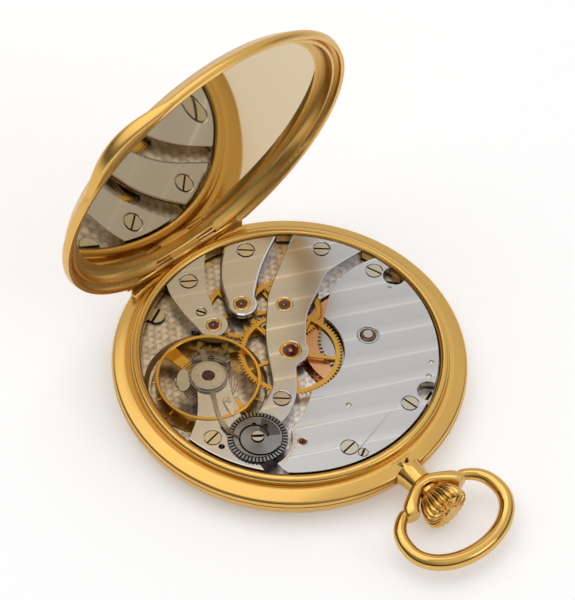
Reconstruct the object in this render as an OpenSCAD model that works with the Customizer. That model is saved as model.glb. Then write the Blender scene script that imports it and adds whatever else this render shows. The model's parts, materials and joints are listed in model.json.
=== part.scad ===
// Open pocket watch seen from the back, its cover swung up to show the movement.
// The origin is the centre of the crystal's flat face, +Z points up through the movement,
// -Y points to the crown (12 o'clock) and +Y to the cover's hinge (6 o'clock).

/* [Case] */
// Outer radius of the case
case_r = 23; // [21:0.1:25]
// Width of the case's wall, from its outside to the movement
case_wall = 3.2; // [3.1:0.05:3.4]
// How far the case's lip covers the edge of the movement
lip_reach = 0.55; // [0.4:0.01:0.6]
// Radius of the half-round side of the case
side_r = 3.27; // [3.1:0.05:3.4]
// Height of the side's middle above the crystal face
side_z = 3.72; // [3.7:0.01:3.75]
// Radius of the half-round bead beside the opening
bead_r = 0.66; // [0.6:0.01:0.68]
// Thickness of the crystal
crystal_t = 1; // [0.8:0.05:1.02]
// Width of the bezel outside the crystal
bezel_w = 2.8; // [2.7:0.05:2.9]

/* [Back cover] */
// Angle at which the cover stands open
cover_open = 80.6; // [0:0.1:95]
// How far the cover's rim stays inside the case's outline
cover_inset = 0.54; // [0.4:0.02:0.7]
// Thickness of the cover's sheet
cover_t = 0.62; // [0.5:0.02:0.7]
// Height of the cover's crown above the crystal face when shut
cover_top = 8.6; // [8.4:0.05:9]
// How far the thumb lip stands out
lip_proud = 1.5; // [1:0.1:1.8]
// Length of the thumb lip along the rim
lip_length = 11; // [9:0.5:12]
// How far the hinge axis lies inside the case's outline
hinge_inset = 1.87; // [1.8:0.01:1.9]
// Height of the hinge axis
hinge_z = 5.79; // [5.75:0.01:5.85]
// Radius of the hinge knuckles
knuckle_r = 0.43; // [0.4:0.01:0.45]
// Radius of the hinge pin
hinge_pin_r = 0.2; // [0.15:0.01:0.22]
// Half the length of the hinge
hinge_half = 9.4; // [9:0.1:9.6]
// Half the length of the cover's own knuckle
cover_knuckle_half = 2.3; // [2:0.1:3]

/* [Pendant, crown and bow] */
// Height of the stem axis
stem_z = 3.85; // [3.8:0.01:3.9]
// Radius of the pendant's neck where it leaves the case
neck_r = 1.92; // [1.8:0.02:2]
// Radius of the neck at its outer end
neck_tip_r = 1.42; // [1.36:0.02:1.5]
// Half the height of the stirrup at the neck
stirrup_half = 1.3; // [1.1:0.05:1.4]
// Radius of the crown at its widest
crown_r = 3.08; // [2.9:0.02:3.2]
// Number of flutes on the crown
flutes = 20; // [16:1:24]
// How far the crown pulls out to set the hands
crown_pull = 0.9; // [0.7:0.05:1]
// Radius of the bow's wire at its far end
bow_wire_r = 1.08; // [0.9:0.02:1.1]
// Radius of the bow's wire at the stirrup
bow_end_r = 0.6; // [0.5:0.02:0.7]
// Half the width of the bow, at the middle of its wire
bow_half = 7.55; // [7.2:0.05:8]
// Length of the bow from its pivots to the middle of the far wire
bow_reach = 9.1; // [8.8:0.1:10]
// How far the bow hangs below level
bow_tilt = 7; // [0:1:12]

/* [Movement] */
// Height of the plate's dial side
plate_z = 2.25; // [2.24:0.005:2.28]
// Thickness of the plate
plate_t = 1.85; // [1.83:0.005:1.86]
// Height of the bridges above the plate
bridge_h = 1.85; // [1.83:0.01:1.9]
// Thickness of a bridge where it spans the wheels
span_t = 0.5; // [0.46:0.01:0.52]
// How far the bridges' outer edge lies inside the plate's
bridge_inset = 0.7; // [0.65:0.02:0.8]
// Sideways clearance round what turns
gap = 0.15; // [0.1:0.01:0.2]
// Radius of the large bridge screws' heads
screw_r = 1.05; // [0.95:0.01:1.1]
// Radius of the small screws' heads
small_screw_r = 0.62; // [0.55:0.01:0.66]

/* [Wheel train] */
// Teeth on the barrel
barrel_teeth = 72; // [66:1:76]
// Leaves on the centre pinion
center_leaves = 12; // [11:1:13]
// Teeth on the centre wheel
center_teeth = 80; // [76:1:84]
// Leaves on the third pinion
third_leaves = 10; // [10:1:11]
// Teeth on the third wheel
third_teeth = 75; // [72:1:78]
// Leaves on the fourth pinion
fourth_leaves = 10; // [10:1:11]
// Teeth on the fourth wheel
fourth_teeth = 80; // [76:1:82]
// Leaves on the escape pinion
escape_leaves = 8; // [8:1:9]
// Teeth on the escape wheel
escape_teeth = 15; // [13:1:15]
// Radius to the escape wheel's tooth tips
escape_r = 2.7; // [2.5:0.05:2.75]
// Teeth on the ratchet wheel
ratchet_teeth = 64; // [62:1:66]
// Teeth on the crown wheel
crown_wheel_teeth = 41; // [40:1:42]
// Teeth on the winding pinion
winding_teeth = 14; // [12:1:16]

/* [Balance and regulator] */
// Outer radius of the balance rim
balance_r = 6.75; // [6.6:0.01:6.78]
// Width of the balance rim
balance_rim_w = 0.44; // [0.4:0.02:0.6]
// Height of the balance rim
balance_rim_t = 0.5; // [0.4:0.02:0.52]
// Number of screws round the balance rim
balance_screw_count = 16; // [12:2:18]
// Turns of the hairspring
hairspring_turns = 9; // [7:1:10]
// Radius of the regulator disc
disc_r = 3.92; // [3.7:0.02:3.94]
// Number of serrations round the regulator disc
serrations = 48; // [40:2:54]

/* [Hands and dial] */
// How far the dial's edge lies inside the plate's
dial_inset = 1; // [0.95:0.05:1.3]
// Thickness of the dial
dial_t = 0.4; // [0.35:0.01:0.42]
// Length of the hour hand
hour_hand_l = 9.5; // [8:0.5:11]
// Length of the minute hand
minute_hand_l = 15; // [13:0.5:16.5]
// Length of the seconds hand
seconds_hand_l = 4.2; // [3:0.2:4.6]

/* [Hidden] */
$fn = 48;
eps = 0.01;

gold = "#d9ac52";
gilt = "#d8a544";
rhodium = "#c9cbcf";
steel = "#b4b7bc";
copper = "#d99a66";
ruby = "#8a2b5a";
blued = "#26282c";

// Radii that follow the case, and the size of the movement's layout against a plate of 19.8 mm
plate_r = case_r - case_wall;
opening_r = plate_r - lip_reach;
crystal_r = case_r - bezel_w;
cover_r = case_r - cover_inset;
hinge_y = case_r - hinge_inset;
bridge_r = plate_r - bridge_inset;
dial_r = plate_r - dial_inset;
inner_r = case_r - 1.58;
layout = plate_r / 19.8;

// Levels, from the crystal up to the bridges
plate_top = plate_z + plate_t;
bridge_top = plate_top + bridge_h;
span_z = bridge_top - span_t;
dial_z = plate_z - dial_t;
bead_mid = opening_r + bead_r;
bead_z = bridge_top - 0.5;
lip_z = plate_top + 0.35;
wheel_t = 0.16;
center_wheel_z = span_z - 0.33;
third_wheel_z = center_wheel_z - 0.34;
fourth_wheel_z = third_wheel_z - 0.43;
escape_wheel_z = fourth_wheel_z - 0.6;
ratchet_z = third_wheel_z - 0.03;
barrel_z = plate_z + 0.4;
barrel_top = ratchet_z - 0.08;
barrel_teeth_z = barrel_z + 0.35;
balance_z = plate_top + 0.35;
recess_z = plate_z + 0.35;
pallet_z = escape_wheel_z;
index_z = bridge_top + 0.04;
disc_z = bridge_top + 0.02;
disc_t = 0.36;
motion_z = plate_z + 0.06;

// Places of the arbors, seen from the back of the watch
center_at = layout * [0, 0];
third_at = layout * [4.22, 6.16];
fourth_at = layout * [0, 9.8];
escape_at = layout * [-5.06, 9.4];
pallet_at = layout * [-7.9, 6.4];
balance_at = layout * [-11, 3.3];
barrel_at = layout * [9.4, -4.47];
crown_wheel_at = layout * [2.2, -11.9];
disc_at = layout * [-12.3, -7.95];
stud_at = at_angle(balance_at, 3.9, 150);
stem_wheel_y = -15.4 * layout;
click_at = layout * [12.8, -12.93];
spring_at = layout * [11.04, -14.38];

function dist(a, b) = norm(b - a);
function heading(a, b) = atan2(b[1] - a[1], b[0] - a[0]);
function at_angle(c, r, a) = c + r * [cos(a), sin(a)];
function fraction(v) = v - floor(v);
function gear_module(a, b, n, m) = 2 * dist(a, b) / (n + m);

// Turn that a wheel needs to mesh with its driver, whose own turn is given
function mesh_turn(a, b, n, turn, m) =
    heading(a, b) + 180 + fraction((heading(a, b) - turn) * n / 360) * 360 / m - 180 / m;

barrel_module = gear_module(barrel_at, center_at, barrel_teeth, center_leaves);
center_module = gear_module(center_at, third_at, center_teeth, third_leaves);
third_module = gear_module(third_at, fourth_at, third_teeth, fourth_leaves);
fourth_module = gear_module(fourth_at, escape_at, fourth_teeth, escape_leaves);
ratchet_module = gear_module(barrel_at, crown_wheel_at, ratchet_teeth, crown_wheel_teeth);
barrel_turn = mesh_turn(center_at, barrel_at, center_leaves, 0, barrel_teeth);
third_turn = mesh_turn(center_at, third_at, center_teeth, 0, third_leaves);
fourth_turn = mesh_turn(third_at, fourth_at, third_teeth, 0, fourth_leaves);
escape_turn = mesh_turn(fourth_at, escape_at, fourth_teeth, 0, escape_leaves);
crown_wheel_turn = mesh_turn(barrel_at, crown_wheel_at, ratchet_teeth, 0, crown_wheel_teeth);
barrel_pitch_r = barrel_module * barrel_teeth / 2;
ratchet_pitch_r = ratchet_module * ratchet_teeth / 2;
crown_pitch_r = ratchet_module * crown_wheel_teeth / 2;
third_pitch_r = third_module * third_teeth / 2;
fourth_pitch_r = fourth_module * fourth_teeth / 2;
center_tip_r = center_module * (center_teeth / 2 + 0.9);
barrel_drum_r = barrel_pitch_r - 0.45;

// Motion work behind the dial
cannon_leaves = 12;
minute_teeth = 36;
minute_leaves = 10;
hour_teeth = 40;
setting_teeth = 20;
motion_d = 3.6 * layout;
minute_at = at_angle(center_at, motion_d, -135);
cannon_module = 2 * motion_d / (cannon_leaves + minute_teeth);
hour_module = 2 * motion_d / (minute_leaves + hour_teeth);
setting_r = cannon_module * setting_teeth / 2;
setting_inner_at = at_angle(minute_at, cannon_module * (minute_teeth + setting_teeth) / 2, -85);
setting_outer_at = at_angle(setting_inner_at, 2 * setting_r, -66);
minute_turn = mesh_turn(center_at, minute_at, cannon_leaves, 0, minute_teeth);
hour_turn = mesh_turn(minute_at, center_at, minute_leaves, 0, hour_teeth);
setting_inner_turn = mesh_turn(minute_at, setting_inner_at, minute_teeth, minute_turn, setting_teeth);
setting_outer_turn =
    mesh_turn(setting_inner_at, setting_outer_at, setting_teeth, setting_inner_turn, setting_teeth);

// Jewels: place, chaton radius and jewel radius
bridge_jewels = [
    [center_at, 1.4, 0.95], [third_at, 1.1, 0.75], [fourth_at, 1.1, 0.7], [escape_at, 1, 0.65]
];
small_jewel_at = layout * [-8.24, -11.84];
function placed(p) = [for (q = p) [layout * q[0], q[1]]];
bridge_screw_places = placed([
    [[14.1, 10.1], -42], [[-5.9, -5.12], -42], [[6.2, 16.24], -42], [[-2.98, 16.96], -35],
    [[17.07, 2.93], -70], [[-4.26, -16.24], 8], [[6.24, -16], -80], [[-16.58, -4.28], 10]
]);
small_screw_places = placed([[[-4.94, 12.04], -60], [[-3.42, -17.92], 30]]);
case_screw_places = placed([[[-9.1, 16.2], 25], [[18.55, 0.6], -50]]);
lever_screw_at = layout * [9.4, -16.1];
lever_screw_r = 1.5;
cock_pin_at = layout * [-16.58, -6.02];
clip_at = layout * [-11.42, -1.16];
pin_places = [[layout * [0.05, -11.27], 0.35], [click_at, 0.3], [spring_at, 0.35], [layout * [16.73, -0.47], 0.25]];

// A Catmull-Rom curve through the points, with the given steps between each pair
function curve(p, steps = 5) = [
    for (i = [0 : len(p) - 2])
        for (k = [0 : steps - 1])
            let (
                t = k / steps,
                a = p[max(i - 1, 0)],
                b = p[i],
                c = p[i + 1],
                d = p[min(i + 2, len(p) - 1)]
            )
            (2 * b + (c - a) * t + (2 * a - 5 * b + 4 * c - d) * t * t
                + (3 * b - a - 3 * c + d) * t * t * t) / 2,
    p[len(p) - 1]
];
function backwards(p) = [for (i = [len(p) - 1 : -1 : 0]) p[i]];
function arc(c, r, a0, a1, steps) =
    [for (i = [0 : steps]) at_angle(c, r, a0 + (a1 - a0) * i / steps)];

module at(p, z = 0) translate([p[0], p[1], z]) children();
module slab(z0, z1) translate([0, 0, z0]) linear_extrude(z1 - z0) children();
module rod(p, r, z0, z1) at(p, z0) cylinder(r = r, h = z1 - z0);
module tube(p, r_out, r_in, z0, z1) difference() {
    rod(p, r_out, z0, z1);
    rod(p, r_in, z0 - 1, z1 + 1);
}
module along_x(y, z, r, x0, x1) translate([x0, y, z]) rotate([0, 90, 0]) cylinder(r = r, h = x1 - x0);
module along_y(x, z, r0, r1, y0, y1)
    translate([x, y0, z]) rotate([-90, 0, 0]) cylinder(r1 = r0, r2 = r1, h = y1 - y0);

// Teeth of a wheel: each is a taper from root to tip, with backlash at the pitch line
module gear_outline(teeth, size, turn = 0, thick = 0.4, add = 0.9, ded = 1.15) {
    pitch = teeth * size / 2;
    step = 360 / teeth;
    polygon([
        for (i = [0 : teeth - 1])
            for (c = [
                [-ded, -0.62], [0.1, -0.5], [add, -0.2], [add, 0.2], [0.1, 0.5], [-ded, 0.62]
            ])
                at_angle([0, 0], pitch + c[0] * size, turn + step * (i + thick * c[1]))
    ]);
}

// Pinion leaves are narrower, with deep round-rooted gaps
module pinion_outline(leaves, size, turn = 0)
    gear_outline(leaves, size, turn, thick = 0.34, add = 0.62, ded = 1.25);

// A crossed-out wheel: toothed rim, spokes that taper to a hub
module spoked_wheel(teeth, size, turn, rim, spokes, spoke_turn, hub, z, t) {
    inner = teeth * size / 2 - 1.15 * size - rim;
    slab(z, z + t) {
        difference() {
            gear_outline(teeth, size, turn);
            circle(r = inner);
        }
        difference() {
            circle(r = hub);
            circle(r = hub - 0.3);
        }
        for (i = [0 : spokes - 1])
            rotate(spoke_turn + 360 * i / spokes)
                polygon([
                    [hub - 0.15, -0.3], [inner + 0.1, -0.2], [inner + 0.1, 0.2], [hub - 0.15, 0.3]
                ]);
    }
}

// A screw: slotted head, shank below
module screw(p, r, z_top, head, depth, slot_turn, shank) at(p, z_top) {
    difference() {
        translate([0, 0, -head]) cylinder(r = r, h = head);
        rotate(slot_turn) translate([-r - 1, -0.11, -0.2]) cube([2 * r + 2, 0.22, 1]);
    }
    translate([0, 0, -depth]) cylinder(r = shank, h = depth - head);
}

module case_profile() polygon(concat(
    [
        [plate_r + 0.1, 1.85], [inner_r, 1.85], [inner_r, side_z + 0.04],
        [case_r - 0.05, side_z + 0.04], [case_r - 0.02, side_z + 0.25]
    ],
    arc([case_r - 0.75, side_z + 0.25], 0.73, 12, 62, 4),
    [[inner_r - 0.12, bead_z - 0.36], [inner_r - 0.27, bead_z - 0.44], [bead_mid + bead_r + 0.06, bead_z - 0.44]],
    arc([bead_mid, bead_z], bead_r, -20, 180, 14),
    [[opening_r, lip_z], [plate_r + 0.1, lip_z]]
));

module hinge_knuckle(side) {
    x0 = side > 0 ? cover_knuckle_half + 0.08 : -hinge_half;
    x1 = side > 0 ? hinge_half : -cover_knuckle_half - 0.08;
    along_x(hinge_y, hinge_z, knuckle_r, x0, x1);
    intersection() {
        translate([x0, hinge_y - knuckle_r, side_z + 0.3])
            cube([x1 - x0, 2 * knuckle_r, hinge_z - side_z - 0.3]);
        cylinder(r = case_r - 0.05, h = 10);
    }
}

// The neck stands in a shallow seat in the case's side; only a thin tenon goes on through it
neck_y = 0.25 - case_r;
tenon_r = 1;
function out_y(d) = -case_r - d;
module neck_space(clear = 0) {
    along_y(0, stem_z, neck_r + clear, neck_r + clear, -case_r - 2, neck_y);
    along_y(0, stem_z, tenon_r + clear, tenon_r + clear, neck_y - 0.1, -plate_r);
}

module case_middle() color(gold) difference() {
    union() {
        rotate_extrude($fn = 180) case_profile();
        for (side = [-1, 1]) hinge_knuckle(side);
    }
    along_x(hinge_y, hinge_z, hinge_pin_r + 0.01, -hinge_half - 1, hinge_half + 1);
    neck_space(0.02);
}

module pendant() color(gold) difference() {
    union() {
        along_y(0, stem_z, neck_tip_r, neck_r, out_y(2.35), neck_y);
        along_y(0, stem_z, tenon_r, tenon_r, neck_y - 0.1, -plate_r - 0.2);
        stirrup();
    }
    along_y(0, stem_z, 0.72, 0.72, out_y(7), 1 - plate_r);
    along_x(bow_pivot[0], bow_pivot[1], bow_pin_r + 0.03, -6, 6);
}

// The bow turns on this line, through the tips of the stirrup
bow_pivot = [out_y(4.45), stem_z];
bow_pin_r = 0.38;
crown_neck_r = 1.25;
stirrup_sides = 16;

// Middle line of the stirrup's right half: x, distance from the case, half width, half height
function stirrup_half_line() = curve([
    [0, 2.42, 0.74, stirrup_half], [1.05, 2.42, 0.76, stirrup_half], [2.1, 2.6, 0.84, stirrup_half - 0.08],
    [3.1, 3.12, 0.92, stirrup_half - 0.16], [3.74, 3.85, 0.94, stirrup_half - 0.26],
    [3.93, 4.6, 0.88, stirrup_half - 0.38], [3.78, 5.3, 0.7, stirrup_half - 0.52]
], 4);
function stirrup_line() =
    let (right = stirrup_half_line())
    concat(
        [for (i = [len(right) - 1 : -1 : 1]) [-right[i][0], right[i][1], right[i][2], right[i][3]]],
        right
    );

// One oval bar, bent round the crown and tapered to its two flat tips
module stirrup() {
    line = stirrup_line();
    n = len(line);
    points = [
        for (i = [0 : n - 1])
            let (
                a = line[max(i - 1, 0)],
                b = line[min(i + 1, n - 1)],
                d = [b[0] - a[0], a[1] - b[1]],
                u = d / norm(d)
            )
            for (k = [0 : stirrup_sides - 1])
                let (c = 360 * k / stirrup_sides)
                [
                    line[i][0] + line[i][2] * cos(c) * u[1],
                    out_y(line[i][1]) - line[i][2] * cos(c) * u[0],
                    stem_z + line[i][3] * sin(c)
                ]
    ];
    polyhedron(points, tube_faces(n, stirrup_sides));
}

// Faces of a closed bar given as rings of points
function tube_faces(rings, sides) = concat(
    [
        for (i = [0 : rings - 2])
            for (k = [0 : sides - 1])
                let (j = (k + 1) % sides)
                for (f = [
                    [i * sides + k, i * sides + j, (i + 1) * sides + j],
                    [i * sides + k, (i + 1) * sides + j, (i + 1) * sides + k]
                ]) f
    ],
    [[for (k = [sides - 1 : -1 : 0]) k]],
    [[for (k = [0 : sides - 1]) (rings - 1) * sides + k]]
);

module bezel() color(gold) difference() {
    rotate_extrude($fn = 180) polygon(concat(
        [[crystal_r + 0.05, 0.52]],
        arc([case_r - side_r, side_z], side_r, -78, 0, 12),
        [
            [inner_r + 0.04, side_z], [inner_r + 0.04, dial_z - 0.07], [dial_r + 0.1, dial_z - 0.07],
            [dial_r + 0.1, crystal_t + 0.03], [crystal_r + 0.05, crystal_t + 0.03]
        ]
    ));
    neck_space(0.02);
}

module crystal() color("#dfeaf0", 0.35) rotate_extrude($fn = 120) polygon([
    [0, 0], [crystal_r - 0.9, 0], [crystal_r - 0.35, 0.12], [crystal_r, 0.5],
    [crystal_r, crystal_t], [0, crystal_t]
]);

module hinge_pin() color(gold) {
    along_x(hinge_y, hinge_z, hinge_pin_r, -hinge_half - 0.2, hinge_half + 0.2);
    for (side = [-1, 1])
        translate([side * (hinge_half + 0.32), hinge_y, hinge_z]) sphere(r = 0.36);
}

// Swings what is drawn shut round the hinge to where the cover stands
module opened() translate([0, hinge_y, hinge_z]) rotate([-cover_open, 0, 0])
    translate([0, -hinge_y, -hinge_z]) children();

function dome_z(r, top, drop) = top - drop * pow(r / (cover_r - 1.46), 2.6);
cover_seat_z = side_z + 1.2;
snap_r = bead_mid + bead_r + 0.14;
lip_turn = -138.5;

module cover_profile() {
    inner_top = cover_top - cover_t;
    polygon(concat(
        [[snap_r, bead_z + 0.1], [snap_r + 0.36, bead_z + 0.1], [snap_r + 0.44, bead_z + 0.42]],
        [[cover_r - 0.75, cover_seat_z + 0.5], [cover_r - 0.7, cover_seat_z + 0.1]],
        [[cover_r - 0.2, cover_seat_z]],
        arc([cover_r - 0.75, cover_seat_z + 0.75], 0.75, -45, 60, 7),
        [for (r = [cover_r - 1.66 : -1.3 : 1]) [r, dome_z(r, cover_top, 1.15)]],
        [[0, cover_top], [0, inner_top]],
        [for (r = [1 : 1.3 : cover_r - 3.26]) [r, dome_z(r, inner_top, 0.95)]],
        [[cover_r - 2.86, dome_z(cover_r - 2.86, inner_top, 1.05)], [cover_r - 2.46, inner_top - 1.1], [snap_r - 0.1, bead_z + 1.2]]
    ));
}

// A bulge of the rim, thick in its middle layer's core and thinner at its edge
module cover_lip() {
    base = cover_r - 0.62;
    half = lip_length / base * 90 / PI;
    for (layer = [[0.12, 0.37], [0.47, 0.6]])
        translate([0, 0, cover_seat_z + 0.75 - layer[1]]) linear_extrude(2 * layer[1]) difference() {
            polygon(concat(
                [for (a = [-half : half / 8 : half + eps])
                    at_angle([0, 0], cover_r - layer[0] + lip_proud * pow(cos(a / half * 90), 1.5), lip_turn + a)],
                [at_angle([0, 0], base, lip_turn + half), at_angle([0, 0], base, lip_turn - half)]
            ));
            circle(r = base + 0.05, $fn = 180);
        }
}

module back_cover() color(gold) opened() difference() {
    union() {
        difference() {
            union() {
                rotate_extrude($fn = 180) cover_profile();
                cover_lip();
            }
            translate([-30, hinge_y, 0]) cube([60, 10, 12]);
            along_x(hinge_y, hinge_z, knuckle_r + 0.09, -12, 12);
            translate([-hinge_half - 0.4, hinge_y - knuckle_r - 0.12, 0])
                cube([2 * hinge_half + 0.8, 2, hinge_z]);
            translate([-12, snap_r - 0.6, 0]) cube([24, 3, bead_z + 0.9]);
        }
        along_x(hinge_y, hinge_z, knuckle_r, -cover_knuckle_half, cover_knuckle_half);
        translate([-cover_knuckle_half, hinge_y - knuckle_r, hinge_z])
            cube([2 * cover_knuckle_half, knuckle_r, 1.3]);
    }
    along_x(hinge_y, hinge_z, hinge_pin_r + 0.02, -hinge_half, hinge_half);
}

// Middle line of the bow's wire: a rounder, squarer curve near the pivots
function bow_point(a) =
    let (
        mid = (bow_reach - 0.85) / 2,
        half = bow_reach - mid,
        n = sin(a) < 0 ? 2.5 : 2,
        x = bow_half * sign(cos(a)) * pow(abs(cos(a)), 2 / n),
        v = mid + half * sign(sin(a)) * pow(abs(sin(a)), 2 / n)
    )
    [x, v];
bow_steps = 44;
bow_start = -61;
bow_sides = 12;

function bow_spine() = concat(
    [[4.3, 0]],
    [for (i = [0 : bow_steps]) bow_point(bow_start + (180 - 2 * bow_start) * i / bow_steps)],
    [[-4.3, 0]]
);

module bow() color(gold) translate([0, bow_pivot[0], bow_pivot[1]]) rotate([bow_tilt, 0, 0]) {
    spine = bow_spine();
    n = len(spine);
    points = [
        for (i = [0 : n - 1])
            let (
                a = spine[max(i - 1, 0)],
                b = spine[min(i + 1, n - 1)],
                d = (b - a) / norm(b - a),
                grow = pow(sin(180 * i / (n - 1)), 0.7),
                r = bow_end_r + (bow_wire_r - bow_end_r) * grow
            )
            for (k = [0 : bow_sides - 1])
                let (c = 360 * k / bow_sides)
                [
                    spine[i][0] - r * cos(c) * d[1],
                    -spine[i][1] - r * cos(c) * d[0],
                    r * sin(c)
                ]
    ];
    difference() {
        polyhedron(points, tube_faces(n, bow_sides));
        cube([2 * 5.1, 2.6, 4], center = true);
    }
    for (side = [-1, 1])
        along_x(0, 0, bow_pin_r, side > 0 ? 3.2 : -5.1, side > 0 ? 5.1 : -3.2);
}

// Crown: a fluted cone that swells to its widest, then rounds over to a flat button.
// Its profile is given as radius and distance from the case.
crown_profile = [
    [0, 3.45], [crown_neck_r, 3.45], [crown_neck_r, 3.9], [1.55, 4], [2.1, 4.8], [2.55, 5.5],
    [crown_r - 0.12, 6.3], [crown_r, 6.75], [crown_r - 0.08, 7.15], [crown_r - 0.5, 7.5],
    [1.75, 7.72], [1.3, 7.74], [1.2, 7.95], [0, 7.95]
];
flute_r = 0.36;

// A round cutter between two points given as radius and distance from the case
module flute(a, b) translate([0, -a[1], a[0]])
    rotate([90 + atan2(b[0] - a[0], b[1] - a[1]), 0, 0]) cylinder(r = flute_r, h = norm(b - a), $fn = 20);

module crown() color(gold) translate([0, -case_r, stem_z]) difference() {
    rotate([90, 0, 0]) rotate_extrude($fn = 60) polygon(crown_profile);
    for (i = [0 : flutes - 1]) rotate([0, 360 * (i + 0.5) / flutes, 0]) {
        flute([1.93, 3.85], [crown_r + 0.08, 6.3]);
        flute([crown_r + 0.13, 6.2], [crown_r + 0.13, 7.2]);
        flute([crown_r + 0.02, 7.25], [1.55, 8.05]);
    }
    along_y(0, 0, stem_r, stem_r, -6.5, -3);
}

stem_r = 0.6;
stem_groove_y = -17.3 * layout;
module winding_stem() color(steel) difference() {
    along_y(0, stem_z, stem_r, stem_r, out_y(6.5), -11.2 * layout);
    difference() {
        along_y(0, stem_z, 1, 1, stem_groove_y - 0.22, stem_groove_y + 0.22);
        along_y(0, stem_z, 0.4, 0.4, -plate_r, -10 * layout);
    }
}

// Train recesses shared by the plate and the bridges
module barrel_space(z0, z1) rod(barrel_at, barrel_pitch_r + barrel_module * 0.9 + gap, z0, z1);
module balance_space(z0, z1) rod(balance_at, balance_r + 0.62, z0, z1);

// Polished slope beside the balance's recess, wide towards the escape wheel
module recess_slope() at(balance_at + layout * [0, 0.45], plate_top - 0.62)
    cylinder(r1 = balance_r + 0.58, r2 = balance_r + 1.2, h = 0.63, $fn = 120);

module main_plate() color(rhodium) {
    difference() {
        rod([0, 0], plate_r, plate_z, plate_top, $fn = 120);
        barrel_space(barrel_z - 0.1, plate_top + 1);
        difference() {
            balance_space(recess_z, plate_top + 1);
            rod(pallet_at, 2.5, 0, pallet_z - 0.25);
        }
        rod(pallet_at, 2.9, pallet_z - 0.25, plate_top + 1);
        rod(center_at, center_leaves * barrel_module / 2 + 0.3, barrel_teeth_z - 0.08, plate_top + 1);
        rod(escape_at, escape_r + gap, escape_wheel_z - 0.15, plate_top + 1);
        rod(fourth_at, 1.2, escape_wheel_z + 0.15, plate_top + 1);
        rod(third_at, 1.2, plate_top - 0.6, plate_top + 1);
        for (p = [center_at, fourth_at]) rod(p, p == center_at ? 0.45 : 0.24, 0, 10);
        rod(balance_at, 0.5, 0, 10);
        for (p = [third_at, escape_at, pallet_at]) rod(p, 0.45, plate_z + 0.3, 10);
        for (s = bridge_screw_places) rod(s[0], 0.44, plate_top - 1.2, plate_top + 1);
        for (s = case_screw_places) rod(s[0], 0.5, plate_top - 1, plate_top + 1);
        rod(cock_pin_at, 0.4, plate_top - 0.6, plate_top + 1);
        recess_slope();
        rod(lever_screw_at, 0.54, plate_z, plate_top + 1);
        keyless_space();
        motion_space();
    }
    for (p = [setting_inner_at, setting_outer_at]) rod(p, 0.27, plate_z + 0.05, plate_z + 0.7);
    rod(minute_at, 0.22, plate_z + 0.05, plate_z + 0.7);
    rod(yoke_at, 0.27, plate_z + 0.05, plate_z + 0.7);
}

// Room for the motion work on the dial side
module motion_space() {
    rod(center_at, hour_module * (hour_teeth / 2 + 1) + 0.12, plate_z - 1, plate_z + 0.55);
    rod(minute_at, cannon_module * (minute_teeth / 2 + 1) + 0.12, plate_z - 1, plate_z + 0.55);
    rod(setting_inner_at, setting_r + 0.25, plate_z - 1, plate_z + 0.55);
    rod(setting_outer_at, setting_r + 0.25, plate_z - 1, plate_z + 0.55);
}

clutch_y = -12.9 * layout;
clutch_r = 0.84;
winding_pinion_r = 0.88;
yoke_at = [-5.5 * layout, clutch_y - 0.05];
module keyless_space() {
    along_y(0, stem_z, 0.68, 0.68, -plate_r - 1, -10.6 * layout);
    along_y(0, stem_z, 1.05, 1.05, stem_wheel_y - 1.15, -10.9 * layout);
    translate([-1.1, clutch_y - 1.1, plate_z - 1]) cube([2.2, 3, 2.4]);
    translate([-0.5, stem_groove_y - 1.4, plate_z - 1]) cube([1.2, 1.9, 2.4]);
    slab(plate_z - 1, plate_z + 0.55) {
        hull() {
            at(lever_screw_at) circle(r = 1.1);
            for (y = [0, -1]) at([0, stem_groove_y + y]) circle(r = 0.7);
        }
        hull() {
            at(yoke_at) circle(r = 0.8);
            for (y = [-0.1, 0.9]) at([0, clutch_y + y]) circle(r = 0.6);
        }
    }
}

// The left edge curves of the bridges, read from the rim inwards
fourth_left = layout * [[5.9, 19.6], [4.46, 18.6], [2.12, 16.6], [0.2, 14.2], [-1, 11.8], [-1.75, 10.3]];
fourth_right = layout * [[1.9, 9.3], [3.2, 10.6], [6.2, 12.88], [9.8, 14.92], [13.6, 16.8]];
escape_left = layout * [[-5.1, 19.6], [-5.56, 18.4], [-6.28, 16.6], [-6.76, 13.84], [-6.92, 12], [-6.95, 9.8]];
escape_right = layout * [[-3.2, 9.4], [-3.58, 10.84], [-3.04, 12.16], [-1.96, 14.44], [0.2, 17.56], [2.2, 19.6]];
center_left = layout * [
    [16, 16.1], [11, 13.24], [7.4, 11.08], [3.8, 8.8], [1.4, 6.4], [-1, 3.76], [-2.9, 1],
    [-5.12, -2.48], [-6.8, -3.68], [-9.2, -4.76], [-10.4, -5.2]
];
center_right = layout * [
    [-10.4, -8.2], [-8, -7.88], [-6.2, -7.28], [-4.04, -5.84], [-2.04, -3.52], [-0.6, -2.1],
    [1.2, -1.6], [2.73, 0.13], [5, 2.6], [6.8, 3.88], [9.5, 5.3], [11.5, 6.4], [13.5, 6.7],
    [17.8, 6.5], [20, 6.3]
];
barrel_edge = layout * [
    [20.5, 3.5], [19, 4.27], [17.7, 4.67], [15.67, 5], [13.67, 4.93], [11.67, 4.4],
    [10.07, 3.73], [7.67, 2], [6.4, 0.9]
];
barrel_low_edge = layout * [[-1.5, -6.1], [-3.6, -7.72], [-6, -8.92], [-8.6, -9.68]];
cock_left = layout * [
    [-20.5, -3.4], [-18.9, -2.4], [-17, -1.2], [-15.8, -0.2], [-14.8, 0.9], [-13.9, 2], [-12.9, 3.4]
];
cock_right = layout * [[-9.1, 2.6], [-9.4, 1.1], [-10.4, -0.8], [-11, -2.6], [-11.6, -4], [-11.4, -5.5]];
cock_foot = layout * [[-10.95, -8.2], [-11.9, -10.6], [-14.6, -10.9], [-15, -14.5]];

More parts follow.
